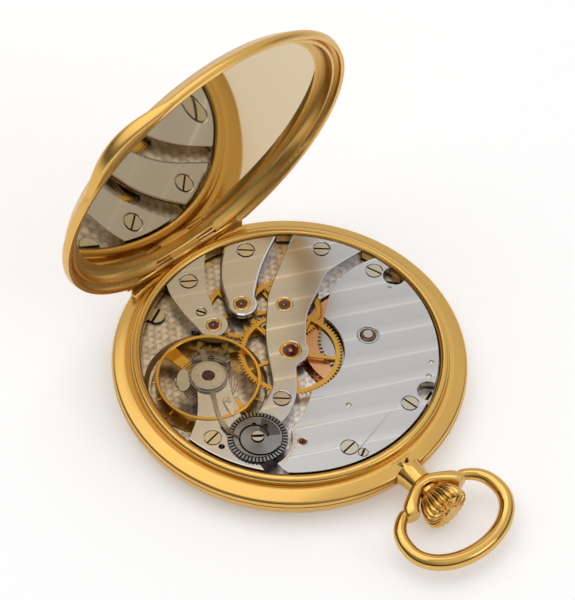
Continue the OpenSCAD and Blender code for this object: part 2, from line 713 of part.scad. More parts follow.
module fourth_bridge_outline() intersection() {
    circle(r = bridge_r, $fn = 120);
    union() {
        polygon(concat(curve(fourth_left), curve(fourth_right), layout * [[12, 22], [6, 22]]));
        at(fourth_at + [0.1, -0.1]) circle(r = 2);
    }
}

module escape_bridge_outline() intersection() {
    circle(r = bridge_r, $fn = 120);
    union() {
        polygon(concat(curve(escape_left), curve(escape_right), layout * [[2, 22], [-5, 22]]));
        at(escape_at + [-0.04, 0.1]) circle(r = 1.95);
    }
}

module center_bridge_outline() intersection() {
    circle(r = bridge_r, $fn = 120);
    union() {
        polygon(concat(curve(center_left), curve(center_right), layout * [[22, 7], [22, 16]]));
        circle(r = 2.35);
    }
}

module barrel_bridge_outline() difference() {
    intersection() {
        circle(r = bridge_r, $fn = 120);
        polygon(concat(
            curve(barrel_edge),
            [[0, 0]],
            curve(barrel_low_edge),
            layout * [[-10.64, -11.5], [-12.8, -11.6], [-12.86, -13.4], [-12.4, -15.5]],
            layout * [[-12.4, -22], [22, -22]]
        ));
    }
    circle(r = center_tip_r + 0.2, $fn = 96);
    at(disc_at) circle(r = 4.45, $fn = 72);
    at(lever_screw_at) circle(r = lever_screw_r);
    at(case_screw_places[1][0]) circle(r = 1.5);
}

module cock_outline() {
    intersection() {
        circle(r = bridge_r, $fn = 120);
        polygon(concat(curve(cock_left), curve(cock_right), cock_foot, layout * [[-22, -12]]));
    }
    difference() {
        union() {
            at(balance_at) circle(r = 2.05);
            at(at_angle(balance_at, 3.1, 150)) rotate(150) square([2.4, 1.2], center = true);
        }
        at(stud_at) circle(r = 0.22);
    }
}

// Countersunk seats for screws, with their shank holes
module screw_seats(places, r, shank) for (s = places) {
    rod(s[0], r + 0.12, bridge_top - 0.28, bridge_top + 1);
    rod(s[0], shank + 0.04, plate_top - 1, bridge_top + 1);
}

module jewel_seats() for (j = bridge_jewels) rod(j[0], j[1], bridge_top - 0.36, bridge_top + 1);
module pivot_holes() for (j = bridge_jewels) rod(j[0], 0.4, span_z - 1, bridge_top + 1);

module fourth_bridge() color(rhodium) difference() {
    slab(plate_top, bridge_top) fourth_bridge_outline();
    rod(third_at, third_pitch_r + 0.35, plate_top - 1, span_z - 0.15);
    rod(fourth_at, fourth_pitch_r + 0.35, plate_top - 1, span_z - 0.15);
    screw_seats([bridge_screw_places[2]], screw_r, 0.4);
    jewel_seats();
    pivot_holes();
}

module escape_bridge() color(rhodium) difference() {
    slab(plate_top, bridge_top) escape_bridge_outline();
    rod(fourth_at, fourth_pitch_r + 0.35, plate_top - 1, span_z - 0.33);
    rod(escape_at, 2.4, plate_top - 1, span_z - 0.33);
    balance_space(plate_top - 1, span_z - 0.33);
    screw_seats([bridge_screw_places[3]], screw_r, 0.4);
    rod(small_screw_places[0][0], small_screw_r + 0.06, bridge_top - 0.26, bridge_top + 1);
    jewel_seats();
    pivot_holes();
}

module center_bridge() color(rhodium) difference() {
    slab(plate_top, bridge_top) center_bridge_outline();
    rod(center_at, center_tip_r + 0.25, plate_top - 1, span_z);
    rod(third_at, third_pitch_r + 0.35, plate_top - 1, span_z);
    screw_seats([bridge_screw_places[0], bridge_screw_places[1]], screw_r, 0.4);
    jewel_seats();
    pivot_holes();
}

module barrel_bridge() color(rhodium) {
    barrel_bridge_body();
    rod(crown_wheel_at, 0.86, ratchet_z - 0.02, span_z);
    rod(click_at, 0.38, ratchet_z - 0.02, span_z);
    rod(spring_at, 0.24, ratchet_z, span_z);
}

module barrel_bridge_body() difference() {
    slab(plate_top, bridge_top) barrel_bridge_outline();
    rod(barrel_at, barrel_drum_r + 0.25, plate_top - 1, span_z);
    rod(crown_wheel_at, crown_pitch_r + 0.45, plate_top - 1, span_z);
    slab(ratchet_z - 0.1, span_z) intersection() {
        at(click_at) circle(r = 3.1);
        circle(r = bridge_r - 0.25);
    }
    rod(barrel_at, 1.45, span_z - 1, bridge_top + 1);
    along_y(0, stem_z, 0.68, 0.68, -plate_r - 1, -11 * layout);
    along_y(0, stem_z, 1.05, 1.05, stem_wheel_y - 1.15, -11 * layout);
    screw_seats([for (i = [4 : 6]) bridge_screw_places[i]], screw_r, 0.4);
    rod(small_screw_places[1][0], small_screw_r + 0.06, bridge_top - 0.26, bridge_top + 1);
    rod(small_jewel_at, 0.65, bridge_top - 0.3, bridge_top + 1);
    for (p = pin_places) rod(p[0], p[1], bridge_top - 0.2, bridge_top + 1);
}

module pallet_bridge() color("#6f6a63") difference() {
    union() {
        rod(pallet_at, 1.25, pallet_z + 0.3, pallet_z + 0.5);
        for (a = [135, 315])
            at(at_angle(pallet_at, 2, a), pallet_z - 0.25) cylinder(r = 0.52, h = 0.75);
        at(pallet_at, pallet_z + 0.3) rotate(135) translate([-2, -0.52, 0]) cube([4, 1.04, 0.2]);
    }
    rod(pallet_at, 0.46, 0, 10);
    for (a = [135, 315])
        at(at_angle(pallet_at, 2, a), pallet_z + 0.4) rotate(a + 50) translate([-1, -0.06, 0]) cube([2, 0.12, 1]);
}

module balance_cock() color(rhodium) difference() {
    slab(plate_top, bridge_top) cock_outline();
    balance_space(plate_top - 1, balance_z + 1);
    rod(balance_at, 0.8, 0, 10);
    screw_seats([bridge_screw_places[7]], screw_r, 0.4);
    rod(cock_pin_at, 0.4, 0, 10);
    rod(disc_at, 0.4, bridge_top - 0.8, 10);
    rod(clip_at, 0.26, bridge_top - 0.5, 10);
}

// Going train
module barrel() color(copper) at(barrel_at) difference() {
    union() {
        slab(barrel_teeth_z, barrel_teeth_z + 0.4)
            gear_outline(barrel_teeth, barrel_module, barrel_turn);
        translate([0, 0, barrel_z]) cylinder(r = barrel_drum_r, h = barrel_top - barrel_z, $fn = 96);
    }
    translate([0, 0, barrel_z + 0.2])
        cylinder(r = barrel_drum_r - 0.3, h = barrel_top - barrel_z - 0.45, $fn = 96);
    translate([0, 0, barrel_z - 1]) cylinder(r = 0.62, h = 5);
}

// One unbroken ribbon, wound outwards from the arbor to the drum wall
module mainspring() color("#8d949c") at(barrel_at) {
    turns = 7;
    r0 = 2;
    r1 = barrel_drum_r - 0.42;
    w = 0.14;
    steps = turns * 20;
    slab(barrel_z + 0.26, barrel_top - 0.31) polygon(concat(
        [for (i = [0 : steps]) at_angle([0, 0], r0 + (r1 - r0) * i / steps, 360 * turns * i / steps)],
        [for (i = [steps : -1 : 0])
            at_angle([0, 0], r0 - w + (r1 - r0) * i / steps, 360 * turns * i / steps)]
    ));
}

module barrel_arbor() color(steel) at(barrel_at) {
    translate([0, 0, plate_z + 0.3]) cylinder(r = 0.6, h = ratchet_z - plate_z - 0.3);
    translate([0, 0, barrel_z + 0.26]) cylinder(r = 1.7, h = barrel_top - barrel_z - 0.57);
    translate([-0.45, -0.45, ratchet_z]) cube([0.9, 0.9, 0.3]);
    translate([0, 0, ratchet_z + 0.28]) cylinder(r = 0.6, h = bridge_top + 0.12 - ratchet_z - 0.28);
}

module ratchet_wheel() color(steel) at(barrel_at) difference() {
    slab(ratchet_z, ratchet_z + 0.22) difference() {
        gear_outline(ratchet_teeth, ratchet_module, 0);
        square(0.92, center = true);
    }
}

module crown_wheel() color(steel) at(crown_wheel_at) difference() {
    slab(ratchet_z, ratchet_z + 0.22)
        gear_outline(crown_wheel_teeth, ratchet_module, crown_wheel_turn);
    translate([0, 0, ratchet_z - 1]) cylinder(r = 0.9, h = 3);
}

click_tip = at_angle(barrel_at, ratchet_pitch_r + 0.32, -80);
module click() color(steel) {
    a = heading(click_at, click_tip);
    d = dist(click_at, click_tip);
    difference() {
        at(click_at, ratchet_z) rotate(a) linear_extrude(0.22)
            polygon([[-0.5, -0.5], [0.5, -0.7], [d, -0.1], [d - 0.15, 0.35], [0.4, 0.8], [-0.5, 0.5]]);
        rod(click_at, 0.42, 0, 10);
    }
}

// A leaf from an eye on its post to the back of the click
module click_spring() color(steel) slab(ratchet_z, ratchet_z + 0.2) difference() {
    union() {
        at(spring_at) circle(r = 0.5);
        polygon(concat(
            curve([[10.69, -14.18], [10.29, -13.38], [10.24, -12.48], [10.5, -11.72]]),
            curve([[10.6, -11.76], [10.38, -12.48], [10.44, -13.38], [10.84, -14.08]])
        ));
    }
    at(spring_at) circle(r = 0.25);
}

module train_arbor(p, r, z0, z1, tip = 0.11) {
    rod(p, r, z0, z1);
    rod(p, tip, z0 - 0.35, bridge_top - 0.08);
}

module center_wheel() color(gilt) {
    at(center_at)
        spoked_wheel(center_teeth, center_module, 0, 0.55, 5, -48, 1.3, center_wheel_z, 0.24);
    slab(barrel_teeth_z - 0.05, barrel_teeth_z + 0.5) pinion_outline(center_leaves, barrel_module, 0);
    rod(center_at, 0.9, barrel_teeth_z + 0.5, center_wheel_z);
    rod(center_at, 1.05, center_wheel_z, center_wheel_z + 0.24);
    rod(center_at, 0.5, center_wheel_z + 0.2, span_z - 0.03);
    rod(center_at, 0.24, dial_z - 0.75, bridge_top - 0.08);
}

module third_wheel() color(gilt) {
    at(third_at) spoked_wheel(third_teeth, third_module, 0, 0.6, 5, 10, 1, third_wheel_z, wheel_t);
    at(third_at) slab(third_wheel_z, span_z - 0.04)
        pinion_outline(third_leaves, center_module, third_turn);
    rod(third_at, 0.72, third_wheel_z, third_wheel_z + wheel_t);
    rod(third_at, 0.3, plate_top - 0.3, third_wheel_z);
    rod(third_at, 0.12, plate_z + 0.8, bridge_top - 0.08);
}

module fourth_wheel() color(gilt) {
    at(fourth_at)
        spoked_wheel(fourth_teeth, fourth_module, 0, 0.55, 5, 25, 0.95, fourth_wheel_z, wheel_t);
    at(fourth_at) slab(fourth_wheel_z, third_wheel_z + 0.35)
        pinion_outline(fourth_leaves, third_module, fourth_turn);
    rod(fourth_at, 0.68, fourth_wheel_z, fourth_wheel_z + wheel_t);
    rod(fourth_at, 0.3, plate_top - 0.2, fourth_wheel_z);
    rod(fourth_at, 0.14, dial_z - 0.3, bridge_top - 0.08);
}

// Club teeth: steep front, sloping back, a small flat heel
module escape_wheel() color(steel) {
    at(escape_at) slab(escape_wheel_z, escape_wheel_z + wheel_t) {
        difference() {
            polygon([
                for (i = [0 : escape_teeth - 1])
                    for (c = [[2.05, -2], [escape_r, 3], [escape_r - 0.08, 6.5], [2.05, 7]])
                        at_angle([0, 0], c[0], c[1] + 360 * i / escape_teeth)
            ]);
            circle(r = 1.7);
        }
        difference() {
            circle(r = 0.75);
            circle(r = 0.4);
        }
        for (a = [0, 90]) rotate(a + 20) difference() {
            square([3.6, 0.28], center = true);
            circle(r = 0.6);
        }
    }
    at(escape_at) slab(escape_wheel_z, fourth_wheel_z + wheel_t + 0.12)
        pinion_outline(escape_leaves, fourth_module, escape_turn);
    rod(escape_at, 0.45, escape_wheel_z, escape_wheel_z + wheel_t);
    rod(escape_at, 0.1, plate_z + 0.5, bridge_top - 0.08);
}

pallet_heading = heading(escape_at, pallet_at);
module pallet_fork() color(steel) {
    slab(pallet_z, pallet_z + 0.18) {
        for (side = [-1, 1]) {
            stone = at_angle(escape_at, escape_r + 0.42, pallet_heading + side * 34);
            hull() {
                at(pallet_at) circle(r = 0.45);
                at(stone) circle(r = 0.22);
            }
        }
        hull() {
            at(pallet_at) circle(r = 0.4);
            at(at_angle(pallet_at, 2.3, heading(pallet_at, balance_at))) circle(r = 0.18);
        }
        at(pallet_at) rotate(heading(pallet_at, balance_at))
            for (side = [-1, 1])
                polygon([[2.2, 0], [2.95, side * 0.45], [3.15, side * 0.3], [2.75, side * 0.12], [2.5, 0]]);
    }
    rod(pallet_at, 0.1, plate_z + 0.5, pallet_z + 0.5);
}

module balance_wheel() color(gilt) at(balance_at) {
    inner = balance_r - balance_rim_w;
    rotate_extrude($fn = 120) polygon(concat(
        [[inner, balance_z + 0.06], [inner + 0.06, balance_z], [balance_r - 0.08, balance_z]],
        [[balance_r, balance_z + 0.08]],
        arc([balance_r - 0.2, balance_z + balance_rim_t - 0.2], 0.2, 0, 90, 4),
        arc([inner + 0.14, balance_z + balance_rim_t - 0.14], 0.14, 90, 180, 3)
    ));
    slab(balance_z + 0.08, balance_z + 0.3) for (a = [95, 275]) rotate(a)
        polygon([[0.3, -0.4], [inner + 0.05, -0.95], [inner + 0.05, 0.95], [0.3, 0.4]]);
    translate([0, 0, balance_z + 0.02]) cylinder(r = 0.7, h = 0.34);
    translate([0, 0, pallet_z + 0.2]) cylinder(r = 0.28, h = balance_z - pallet_z - 0.1);
    translate([0, 0, plate_z + 0.15]) cylinder(r = 0.1, h = bridge_top - plate_z);
}

module balance_screws() color(gilt)
    for (i = [0 : balance_screw_count - 1]) {
        a = 360 * (i + 0.25) / balance_screw_count;
        at(balance_at, balance_z + balance_rim_t / 2) rotate(a) rotate([0, 90, 0])
            translate([0, 0, balance_r]) cylinder(r = 0.2, h = 0.36, $fn = 24);
    }

module roller() color(steel) at(balance_at) difference() {
    union() {
        translate([0, 0, pallet_z + 0.22]) cylinder(r = 1.1, h = 0.16);
        translate([0.8, 0, pallet_z - 0.02]) cylinder(r = 0.12, h = 0.26);
    }
    cylinder(r = 0.28, h = 10);
}

// One unbroken flat spiral from the collet to the stud
module hairspring() color("#5b6f94") at(balance_at) {
    z0 = balance_z + balance_rim_t + 0.06;
    r0 = 0.78;
    r1 = 3.94;
    w = 0.08;
    steps = hairspring_turns * 24;
    last = 360 * hairspring_turns + 150;
    slab(z0, z0 + 0.16) {
        polygon(concat(
            [for (i = [0 : steps]) at_angle([0, 0], r0 + (r1 - r0) * i / steps, last * i / steps)],
            [for (i = [steps : -1 : 0])
                at_angle([0, 0], r0 - w + (r1 - r0) * i / steps, last * i / steps)]
        ));
        difference() {
            circle(r = 0.7);
            circle(r = 0.14);
        }
    }
}

// The index's tail ends in a pin that runs in the disc's spiral groove
index_pin_at = layout * [-14.24, -6.7];
index_pin_d = dist(disc_at, index_pin_at);
groove_r0 = 1.3;
groove_span = 1.8;
groove_sweep = 330;
groove_turn = heading(disc_at, index_pin_at) - groove_sweep * (index_pin_d - groove_r0) / groove_span;

module regulator_index() color(steel) {
    tail = curve(layout * [[-11.9, 1.6], [-12.56, 0.28], [-13.5, -1.4], [-14, -2.6], [-14.3, -3.42]], 3);
    over = curve(concat(layout * [[-14.3, -3.42], [-14.52, -4.5], [-14.55, -5.6]], [index_pin_at]), 3);
    over_z = disc_z + disc_t + 0.04;
    slab(over_z, over_z + 0.16) polygon(concat(
        [for (i = [0 : len(over) - 1]) over[i] + [0.36 - 0.03 * i, 0.05]],
        [for (i = [len(over) - 1 : -1 : 0]) over[i] - [0.36 - 0.03 * i, 0.05]]
    ));
    slab(index_z, over_z + 0.16) at(tail[len(tail) - 1]) circle(r = 0.28);
    rod(index_pin_at, 0.09, disc_z + disc_t - 0.12, over_z + 0.1);
    slab(index_z, index_z + 0.22) {
        difference() {
            union() {
                at(balance_at) circle(r = 2.5);
                at(balance_at) rotate(heading(balance_at, layout * [-8.84, 7.1]))
                    polygon([[2, -0.42], [4.25, -0.3], [4.35, 0.3], [2, 0.42]]);
                polygon(concat(
                    [for (i = [0 : len(tail) - 1]) tail[i] + [0.42 - 0.012 * i, 0.11]],
                    [for (i = [len(tail) - 1 : -1 : 0]) tail[i] - [0.42 - 0.012 * i, 0.11]]
                ));
            }
            at(balance_at) circle(r = 1.62);
        }
    }
}

module balance_cap() color(steel) at(balance_at) difference() {
    union() {
        translate([0, 0, bridge_top]) cylinder(r = 1.58, h = 0.34);
        translate([0, 0, bridge_top + 0.28]) cylinder(r = 2.2, h = 0.16);
        translate([0, 0, bridge_top - 0.3]) cylinder(r = 0.78, h = 0.32);
    }
    translate([0, 0, bridge_top + 0.18]) cylinder(r = 0.84, h = 1);
    translate([0, 0, bridge_top - 1]) cylinder(r = 0.14, h = 3);
    difference() {
        translate([0, 0, bridge_top + 0.39]) cylinder(r = 1.98, h = 1);
        translate([0, 0, bridge_top + 0.38]) cylinder(r = 1.86, h = 1);
    }
    for (a = [15, 165, 270]) rotate(a - 25.6)
        translate([1.42, 0, bridge_top + 0.36]) cylinder(r = 0.14, h = 1, $fn = 16);
}

// Regulator disc: serrated edge for a fingertip, a spiral step on top that steers the index
module regulator_disc() color(steel) at(disc_at) {
    difference() {
        slab(disc_z, disc_z + disc_t) difference() {
            circle(r = disc_r - 0.1, $fn = 96);
            circle(r = 0.45);
        }
        translate([0, 0, disc_z + disc_t - 0.16]) linear_extrude(1) polygon(concat(
            [for (a = [0 : 11 : groove_sweep])
                at_angle([0, 0], groove_r0 + 0.13 + groove_span * a / groove_sweep, a + groove_turn)],
            [for (a = [groove_sweep : -11 : 0])
                at_angle([0, 0], groove_r0 - 0.13 + groove_span * a / groove_sweep, a + groove_turn)]
        ));
        for (i = [0 : serrations - 1]) rotate(360 * i / serrations)
            translate([disc_r - 0.72, -0.11, disc_z + disc_t - 0.17]) cube([1, 0.22, 1]);
        difference() {
            translate([0, 0, disc_z + disc_t - 0.1]) cylinder(r = disc_r - 0.72, h = 1, $fn = 96);
            translate([0, 0, disc_z]) cylinder(r = disc_r - 0.84, h = 2, $fn = 96);
        }
        for (p = [[0.88, 1.75, 0.3], [1.84, 0.67, 0.35]])
            translate([p[0], p[1], disc_z + disc_t - 0.14]) cylinder(r = p[2], h = 1, $fn = 24);
        translate([0, 0, disc_z + disc_t - 0.05]) linear_extrude(1) polygon(concat(
            arc([0, 0], 1, -32, 40, 4), arc([0, 0], disc_r - 1.02, 40, -32, 8)
        ));
    }
}

module regulator_screw() color(steel) {
    screw(disc_at, 0.85, disc_z + disc_t + 0.22, 0.2, disc_t + 0.95, -36, 0.38);
}

module stud_carrier() color(steel) {
    slab(index_z, index_z + 0.24) difference() {
        at(at_angle(balance_at, 3.2, 151)) rotate(49) scale([1.75, 0.95]) circle(r = 1);
        at(balance_at) circle(r = 2.6);
    }
    rod(stud_at, 0.16, balance_z + balance_rim_t + 0.24, index_z + 0.1);
}

module cock_clip() color(steel) {
    slab(index_z, index_z + 0.2) difference() {
        union() {
            at(clip_at) circle(r = 0.7);
            polygon(concat([for (q = curve([
                [-0.5, 0.4], [-0.88, -0.6], [-1.08, -2.3], [-0.3, -1.5], [0.56, -0.42]
            ], 4)) clip_at + q]));
        }
        at(clip_at) circle(r = 0.26);
    }
    screw(clip_at, 0.46, index_z + 0.34, 0.14, 0.75, 40, 0.22);
}

module bridge_screws() color(steel) for (s = bridge_screw_places)
    screw(s[0], screw_r, bridge_top + 0.02, 0.3, 2.6, s[1], 0.4);

module small_screws() color(steel) for (s = small_screw_places)
    screw(s[0], small_screw_r, bridge_top, 0.24, 0.26, s[1], 0.3);

// Polished pins whose ends show in the barrel bridge
module steady_pins() color(steel) for (p = pin_places) at(p[0], bridge_top - 0.19) {
    cylinder(r = p[1] - 0.03, h = 0.12);
    translate([0, 0, 0.12]) cylinder(r1 = p[1] - 0.03, r2 = p[1] * 0.35, h = 0.07);
}

module case_screws() color(steel) {
    for (s = case_screw_places) screw(s[0], 1.25, lip_z - 0.03, 0.28, 1.2, s[1], 0.46);
    screw(lever_screw_at, 1.2, lip_z - 0.03, 0.3, 1.6, 20, 0.5);
}

module jewel(p, r, z_top, t, hole) at(p, z_top - t) difference() {
    cylinder(r = r, h = t);
    translate([0, 0, -1]) cylinder(r = hole, h = t + 2);
    translate([0, 0, t - 0.1]) cylinder(r1 = 0.12, r2 = r * 0.5, h = 0.11);
}

module jewels() color(ruby) {
    for (j = bridge_jewels)
        jewel(j[0], j[2], bridge_top - 0.06, 0.28, j[0] == center_at ? 0.26 : 0.15);
    jewel(small_jewel_at, 0.5, bridge_top - 0.02, 0.24, 0.12);
    rod(balance_at, 0.84, bridge_top + 0.18, bridge_top + 0.4);
    jewel(pallet_at, 0.44, pallet_z + 0.48, 0.16, 0.12);
    jewel(third_at, 0.45, plate_top - 0.62, 0.3, 0.15);
    jewel(escape_at, 0.45, escape_wheel_z - 0.16, 0.3, 0.13);
    jewel(pallet_at, 0.45, pallet_z - 0.26, 0.3, 0.12);
    jewel(balance_at, 0.5, recess_z - 0.02, 0.3, 0.12);
}

module chatons() color(gilt) {
    for (j = bridge_jewels) difference() {
        tube(j[0], j[1], j[2], bridge_top - 0.34, bridge_top + 0.03);
        at(j[0], bridge_top - 0.07) cylinder(r1 = j[2], r2 = j[2] + 0.14, h = 0.11);
    }
    tube(small_jewel_at, 0.64, 0.5, bridge_top - 0.28, bridge_top + 0.01);
}

// Steel bush of the barrel arbor: a raised ring, a groove and a raised inner ring
module arbor_bush() color(steel) at(barrel_at) difference() {
    translate([0, 0, span_z + 0.1]) cylinder(r = 1.44, h = bridge_top - span_z - 0.04);
    translate([0, 0, span_z - 1]) cylinder(r = 0.64, h = 3);
    difference() {
        translate([0, 0, bridge_top - 0.12]) cylinder(r = 1.22, h = 1);
        translate([0, 0, bridge_top - 0.13]) cylinder(r = 0.98, h = 1);
    }
}

// Keyless work
module winding_pinion() color(steel) difference() {
    translate([0, stem_wheel_y - 0.6, stem_z]) rotate([-90, 0, 0]) linear_extrude(1.2)
        gear_outline(winding_teeth, 2 * winding_pinion_r / (winding_teeth + 2), 0);
    along_y(0, stem_z, stem_r + 0.02, stem_r + 0.02, -plate_r, -10 * layout);
}

module sliding_clutch() color(steel) difference() {
    union() {
        along_y(0, stem_z, clutch_r, clutch_r, clutch_y - 1.82, clutch_y - 0.25);
        along_y(0, stem_z, 0.72, 0.72, clutch_y - 0.25, clutch_y + 0.15);
        along_y(0, stem_z, clutch_r, clutch_r, clutch_y + 0.15, clutch_y + 0.75);
    }
    along_y(0, stem_z, stem_r + 0.02, stem_r + 0.02, -plate_r, -10 * layout);
}

// A flat lever with an eye at its pivot and a pin that stands into a groove
module pinned_lever(pivot, eye, bore, pin_at, z_pin) {
    slab(plate_z + 0.05, plate_z + 0.4) difference() {
        hull() {
            at(pivot) circle(r = eye);
            at(pin_at) circle(r = 0.35);
        }
        at(pivot) circle(r = bore);
    }
    rod(pin_at, 0.15, plate_z + 0.4, z_pin);
}
module setting_lever() color(steel)
    pinned_lever(lever_screw_at, 0.95, 0.52, [0, stem_groove_y], stem_z - 0.43);
module clutch_yoke() color(steel)
    pinned_lever(yoke_at, 0.6, 0.3, [0, clutch_y - 0.05], stem_z - 0.74);

module setting_wheel(p, turn) color(steel) at(p) slab(motion_z + 0.26, motion_z + 0.48) difference() {
    gear_outline(setting_teeth, cannon_module, turn);
    circle(r = 0.3);
}

module cannon_pinion() color(steel) difference() {
    union() {
        rod(center_at, 0.42, dial_z - 0.68, motion_z + 0.46);
        slab(motion_z + 0.24, motion_z + 0.46) pinion_outline(cannon_leaves, cannon_module, 0);
    }
    rod(center_at, 0.26, 0, 10);
}

module minute_wheel() color(gilt) at(minute_at) difference() {
    union() {
        slab(motion_z + 0.26, motion_z + 0.44) gear_outline(minute_teeth, cannon_module, minute_turn);
        slab(motion_z, motion_z + 0.26) pinion_outline(minute_leaves, hour_module, 0);
    }
    translate([0, 0, plate_z - 1]) cylinder(r = 0.25, h = 3);
}

module hour_wheel() color(gilt) difference() {
    union() {
        slab(motion_z, motion_z + 0.18) gear_outline(hour_teeth, hour_module, hour_turn);
        rod(center_at, 0.75, dial_z - 0.42, motion_z + 0.1);
    }
    rod(center_at, 0.47, 0, 10);
}

seconds_r = 4.9 * layout;
module dial() color("#f1ede2") difference() {
    rod([0, 0], dial_r, dial_z, dial_z + dial_t, $fn = 120);
    rod(center_at, 0.85, 0, 10);
    rod(fourth_at, 0.3, 0, 10);
    tube(fourth_at, seconds_r, seconds_r - 0.15, 0, dial_z + 0.06);
}

module dial_markers() color("#2b2a28") slab(dial_z - 0.05, dial_z) {
    for (i = [0 : 11]) if (i != 3) rotate(30 * i) translate([dial_r - 2.9, -0.3]) square([2.6, 0.6]);
    for (i = [0 : 59]) if (i % 5 != 0) rotate(6 * i) translate([dial_r - 0.8, -0.07]) square([0.6, 0.14]);
    at(fourth_at) for (i = [0 : 11]) rotate(30 * i) translate([seconds_r - 1, -0.08]) square([0.7, 0.16]);
}

module hand(p, length, tail, hub, hole, w, z, t, turn) at(p, z) difference() {
    linear_extrude(t) {
        circle(r = hub);
        rotate(turn) polygon([
            [-tail, -w * 0.4], [0, -w * 0.5], [length * 0.72, -w * 0.5], [length, 0],
            [length * 0.72, w * 0.5], [0, w * 0.5], [-tail, w * 0.4]
        ]);
    }
    translate([0, 0, -1]) cylinder(r = hole, h = 3);
}

// The hands stand at ten past ten; the dial is read from below, with 12 o'clock at -Y
hour_turn_shown = 215;
minute_turn_shown = -30;
seconds_turn_shown = 40;
module hour_hand() color(blued)
    hand(center_at, hour_hand_l, 2, 1.2, 0.76, 1, dial_z - 0.4, 0.1, hour_turn_shown);
module minute_hand() color(blued)
    hand(center_at, minute_hand_l, 2.6, 0.9, 0.43, 0.7, dial_z - 0.66, 0.1, minute_turn_shown);
module seconds_hand() color(blued)
    hand(fourth_at, seconds_hand_l, 1.4, 0.4, 0.15, 0.22, dial_z - 0.22, 0.07, seconds_turn_shown);

case_middle();
pendant();
bezel();
crystal();
hinge_pin();
back_cover();
bow();
crown();
winding_stem();
main_plate();
barrel_bridge();
center_bridge();
fourth_bridge();
escape_bridge();
pallet_bridge();
balance_cock();
barrel();
mainspring();
barrel_arbor();
arbor_bush();
ratchet_wheel();
crown_wheel();
click();
click_spring();
center_wheel();
third_wheel();
fourth_wheel();
escape_wheel();
pallet_fork();
balance_wheel();
balance_screws();
roller();
hairspring();
regulator_index();
balance_cap();
regulator_disc();
regulator_screw();
stud_carrier();
cock_clip();
bridge_screws();
small_screws();
case_screws();
steady_pins();
jewels();
chatons();
winding_pinion();
sliding_clutch();
setting_lever();
clutch_yoke();
setting_wheel(setting_outer_at, setting_outer_turn);  // setting_wheel_outer
setting_wheel(setting_inner_at, setting_inner_turn);  // setting_wheel_inner
cannon_pinion();
minute_wheel();
hour_wheel();
dial();
dial_markers();
hour_hand();
minute_hand();
seconds_hand();
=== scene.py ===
"""Dresses an open gold pocket watch, seen from the back, for a product picture.

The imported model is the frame: its pieces keep their places, and each gets the finish of the
real one. Pieces whose real form is finer than the solids are drawn again: bridges, screws,
caps and chatons with polished bevels, the ribbed crown, the neck, stirrup and bow, the hinge,
the thumb lip, the mirror inside the cover, and the balance's rim and screw heads.
"""

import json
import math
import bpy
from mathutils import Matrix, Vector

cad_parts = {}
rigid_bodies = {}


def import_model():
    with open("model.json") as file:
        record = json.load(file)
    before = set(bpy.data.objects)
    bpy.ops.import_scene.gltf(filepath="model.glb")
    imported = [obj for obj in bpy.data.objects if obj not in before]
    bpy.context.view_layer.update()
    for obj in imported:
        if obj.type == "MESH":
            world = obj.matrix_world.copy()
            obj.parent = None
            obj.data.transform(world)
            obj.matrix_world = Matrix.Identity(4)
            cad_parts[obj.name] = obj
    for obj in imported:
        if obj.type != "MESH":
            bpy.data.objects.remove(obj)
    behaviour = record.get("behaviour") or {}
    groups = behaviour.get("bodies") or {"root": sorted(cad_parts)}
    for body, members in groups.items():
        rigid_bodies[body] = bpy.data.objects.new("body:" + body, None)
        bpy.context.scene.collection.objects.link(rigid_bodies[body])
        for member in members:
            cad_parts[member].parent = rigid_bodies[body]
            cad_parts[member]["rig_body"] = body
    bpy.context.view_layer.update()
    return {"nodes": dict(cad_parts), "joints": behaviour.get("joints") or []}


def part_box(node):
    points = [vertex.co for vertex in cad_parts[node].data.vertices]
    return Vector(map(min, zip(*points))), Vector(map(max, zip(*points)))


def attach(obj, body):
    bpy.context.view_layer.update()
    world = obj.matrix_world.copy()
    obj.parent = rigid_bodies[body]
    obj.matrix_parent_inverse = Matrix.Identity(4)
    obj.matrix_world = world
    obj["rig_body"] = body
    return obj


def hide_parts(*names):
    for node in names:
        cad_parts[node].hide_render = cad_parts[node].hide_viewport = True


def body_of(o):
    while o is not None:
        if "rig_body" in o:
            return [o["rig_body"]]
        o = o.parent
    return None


bl_info = {
    "name": "Open Pocket Watch",
    "version": (1, 0, 0),
    "blender": (4, 5, 0),
    "location": "View3D > Sidebar > Pocket Watch",
    "description": "Finishes, bevelled bridges, light and camera for a pocket watch with its back open",
    "category": "Add Mesh",
}

import bmesh
import bpy
from mathutils import Matrix, Vector

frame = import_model()
NODES = frame["nodes"]
JOINTS = {joint["name"]: joint for joint in frame["joints"]}
MM = 0.001
PHOTO_HEIGHT = 600
SENSOR = 36.0


def to_linear(color):
    """The linear colour, with alpha, of an sRGB hex value."""
    channels = [int(color[i : i + 2], 16) / 255 for i in (1, 3, 5)]
    linear = [c / 12.92 if c <= 0.04045 else ((c + 0.055) / 1.055) ** 2.4 for c in channels]
    return (*linear, 1.0)


def grey(value):
    """A grey with alpha, for a ramp that carries a number."""
    return (value, value, value, 1.0)


def add_node(tree, kind, settings=None, inputs=None):
    """Adds a node, applies its settings, and fills or links its inputs."""
    node = tree.nodes.new(kind)
    for key, value in (settings or {}).items():
        setattr(node, key, value)
    for key, value in (inputs or {}).items():
        if isinstance(value, bpy.types.NodeSocket):
            tree.links.new(value, node.inputs[key])
        else:
            node.inputs[key].default_value = value
    return node


def set_ramp(ramp, stops):
    """Gives a colour ramp its stops, each a position and a colour."""
    elements = ramp.color_ramp.elements
    while len(elements) > 1:
        elements.remove(elements[-1])
    elements[0].position, elements[0].color = stops[0]
    for position, color in stops[1:]:
        elements.new(position).color = color


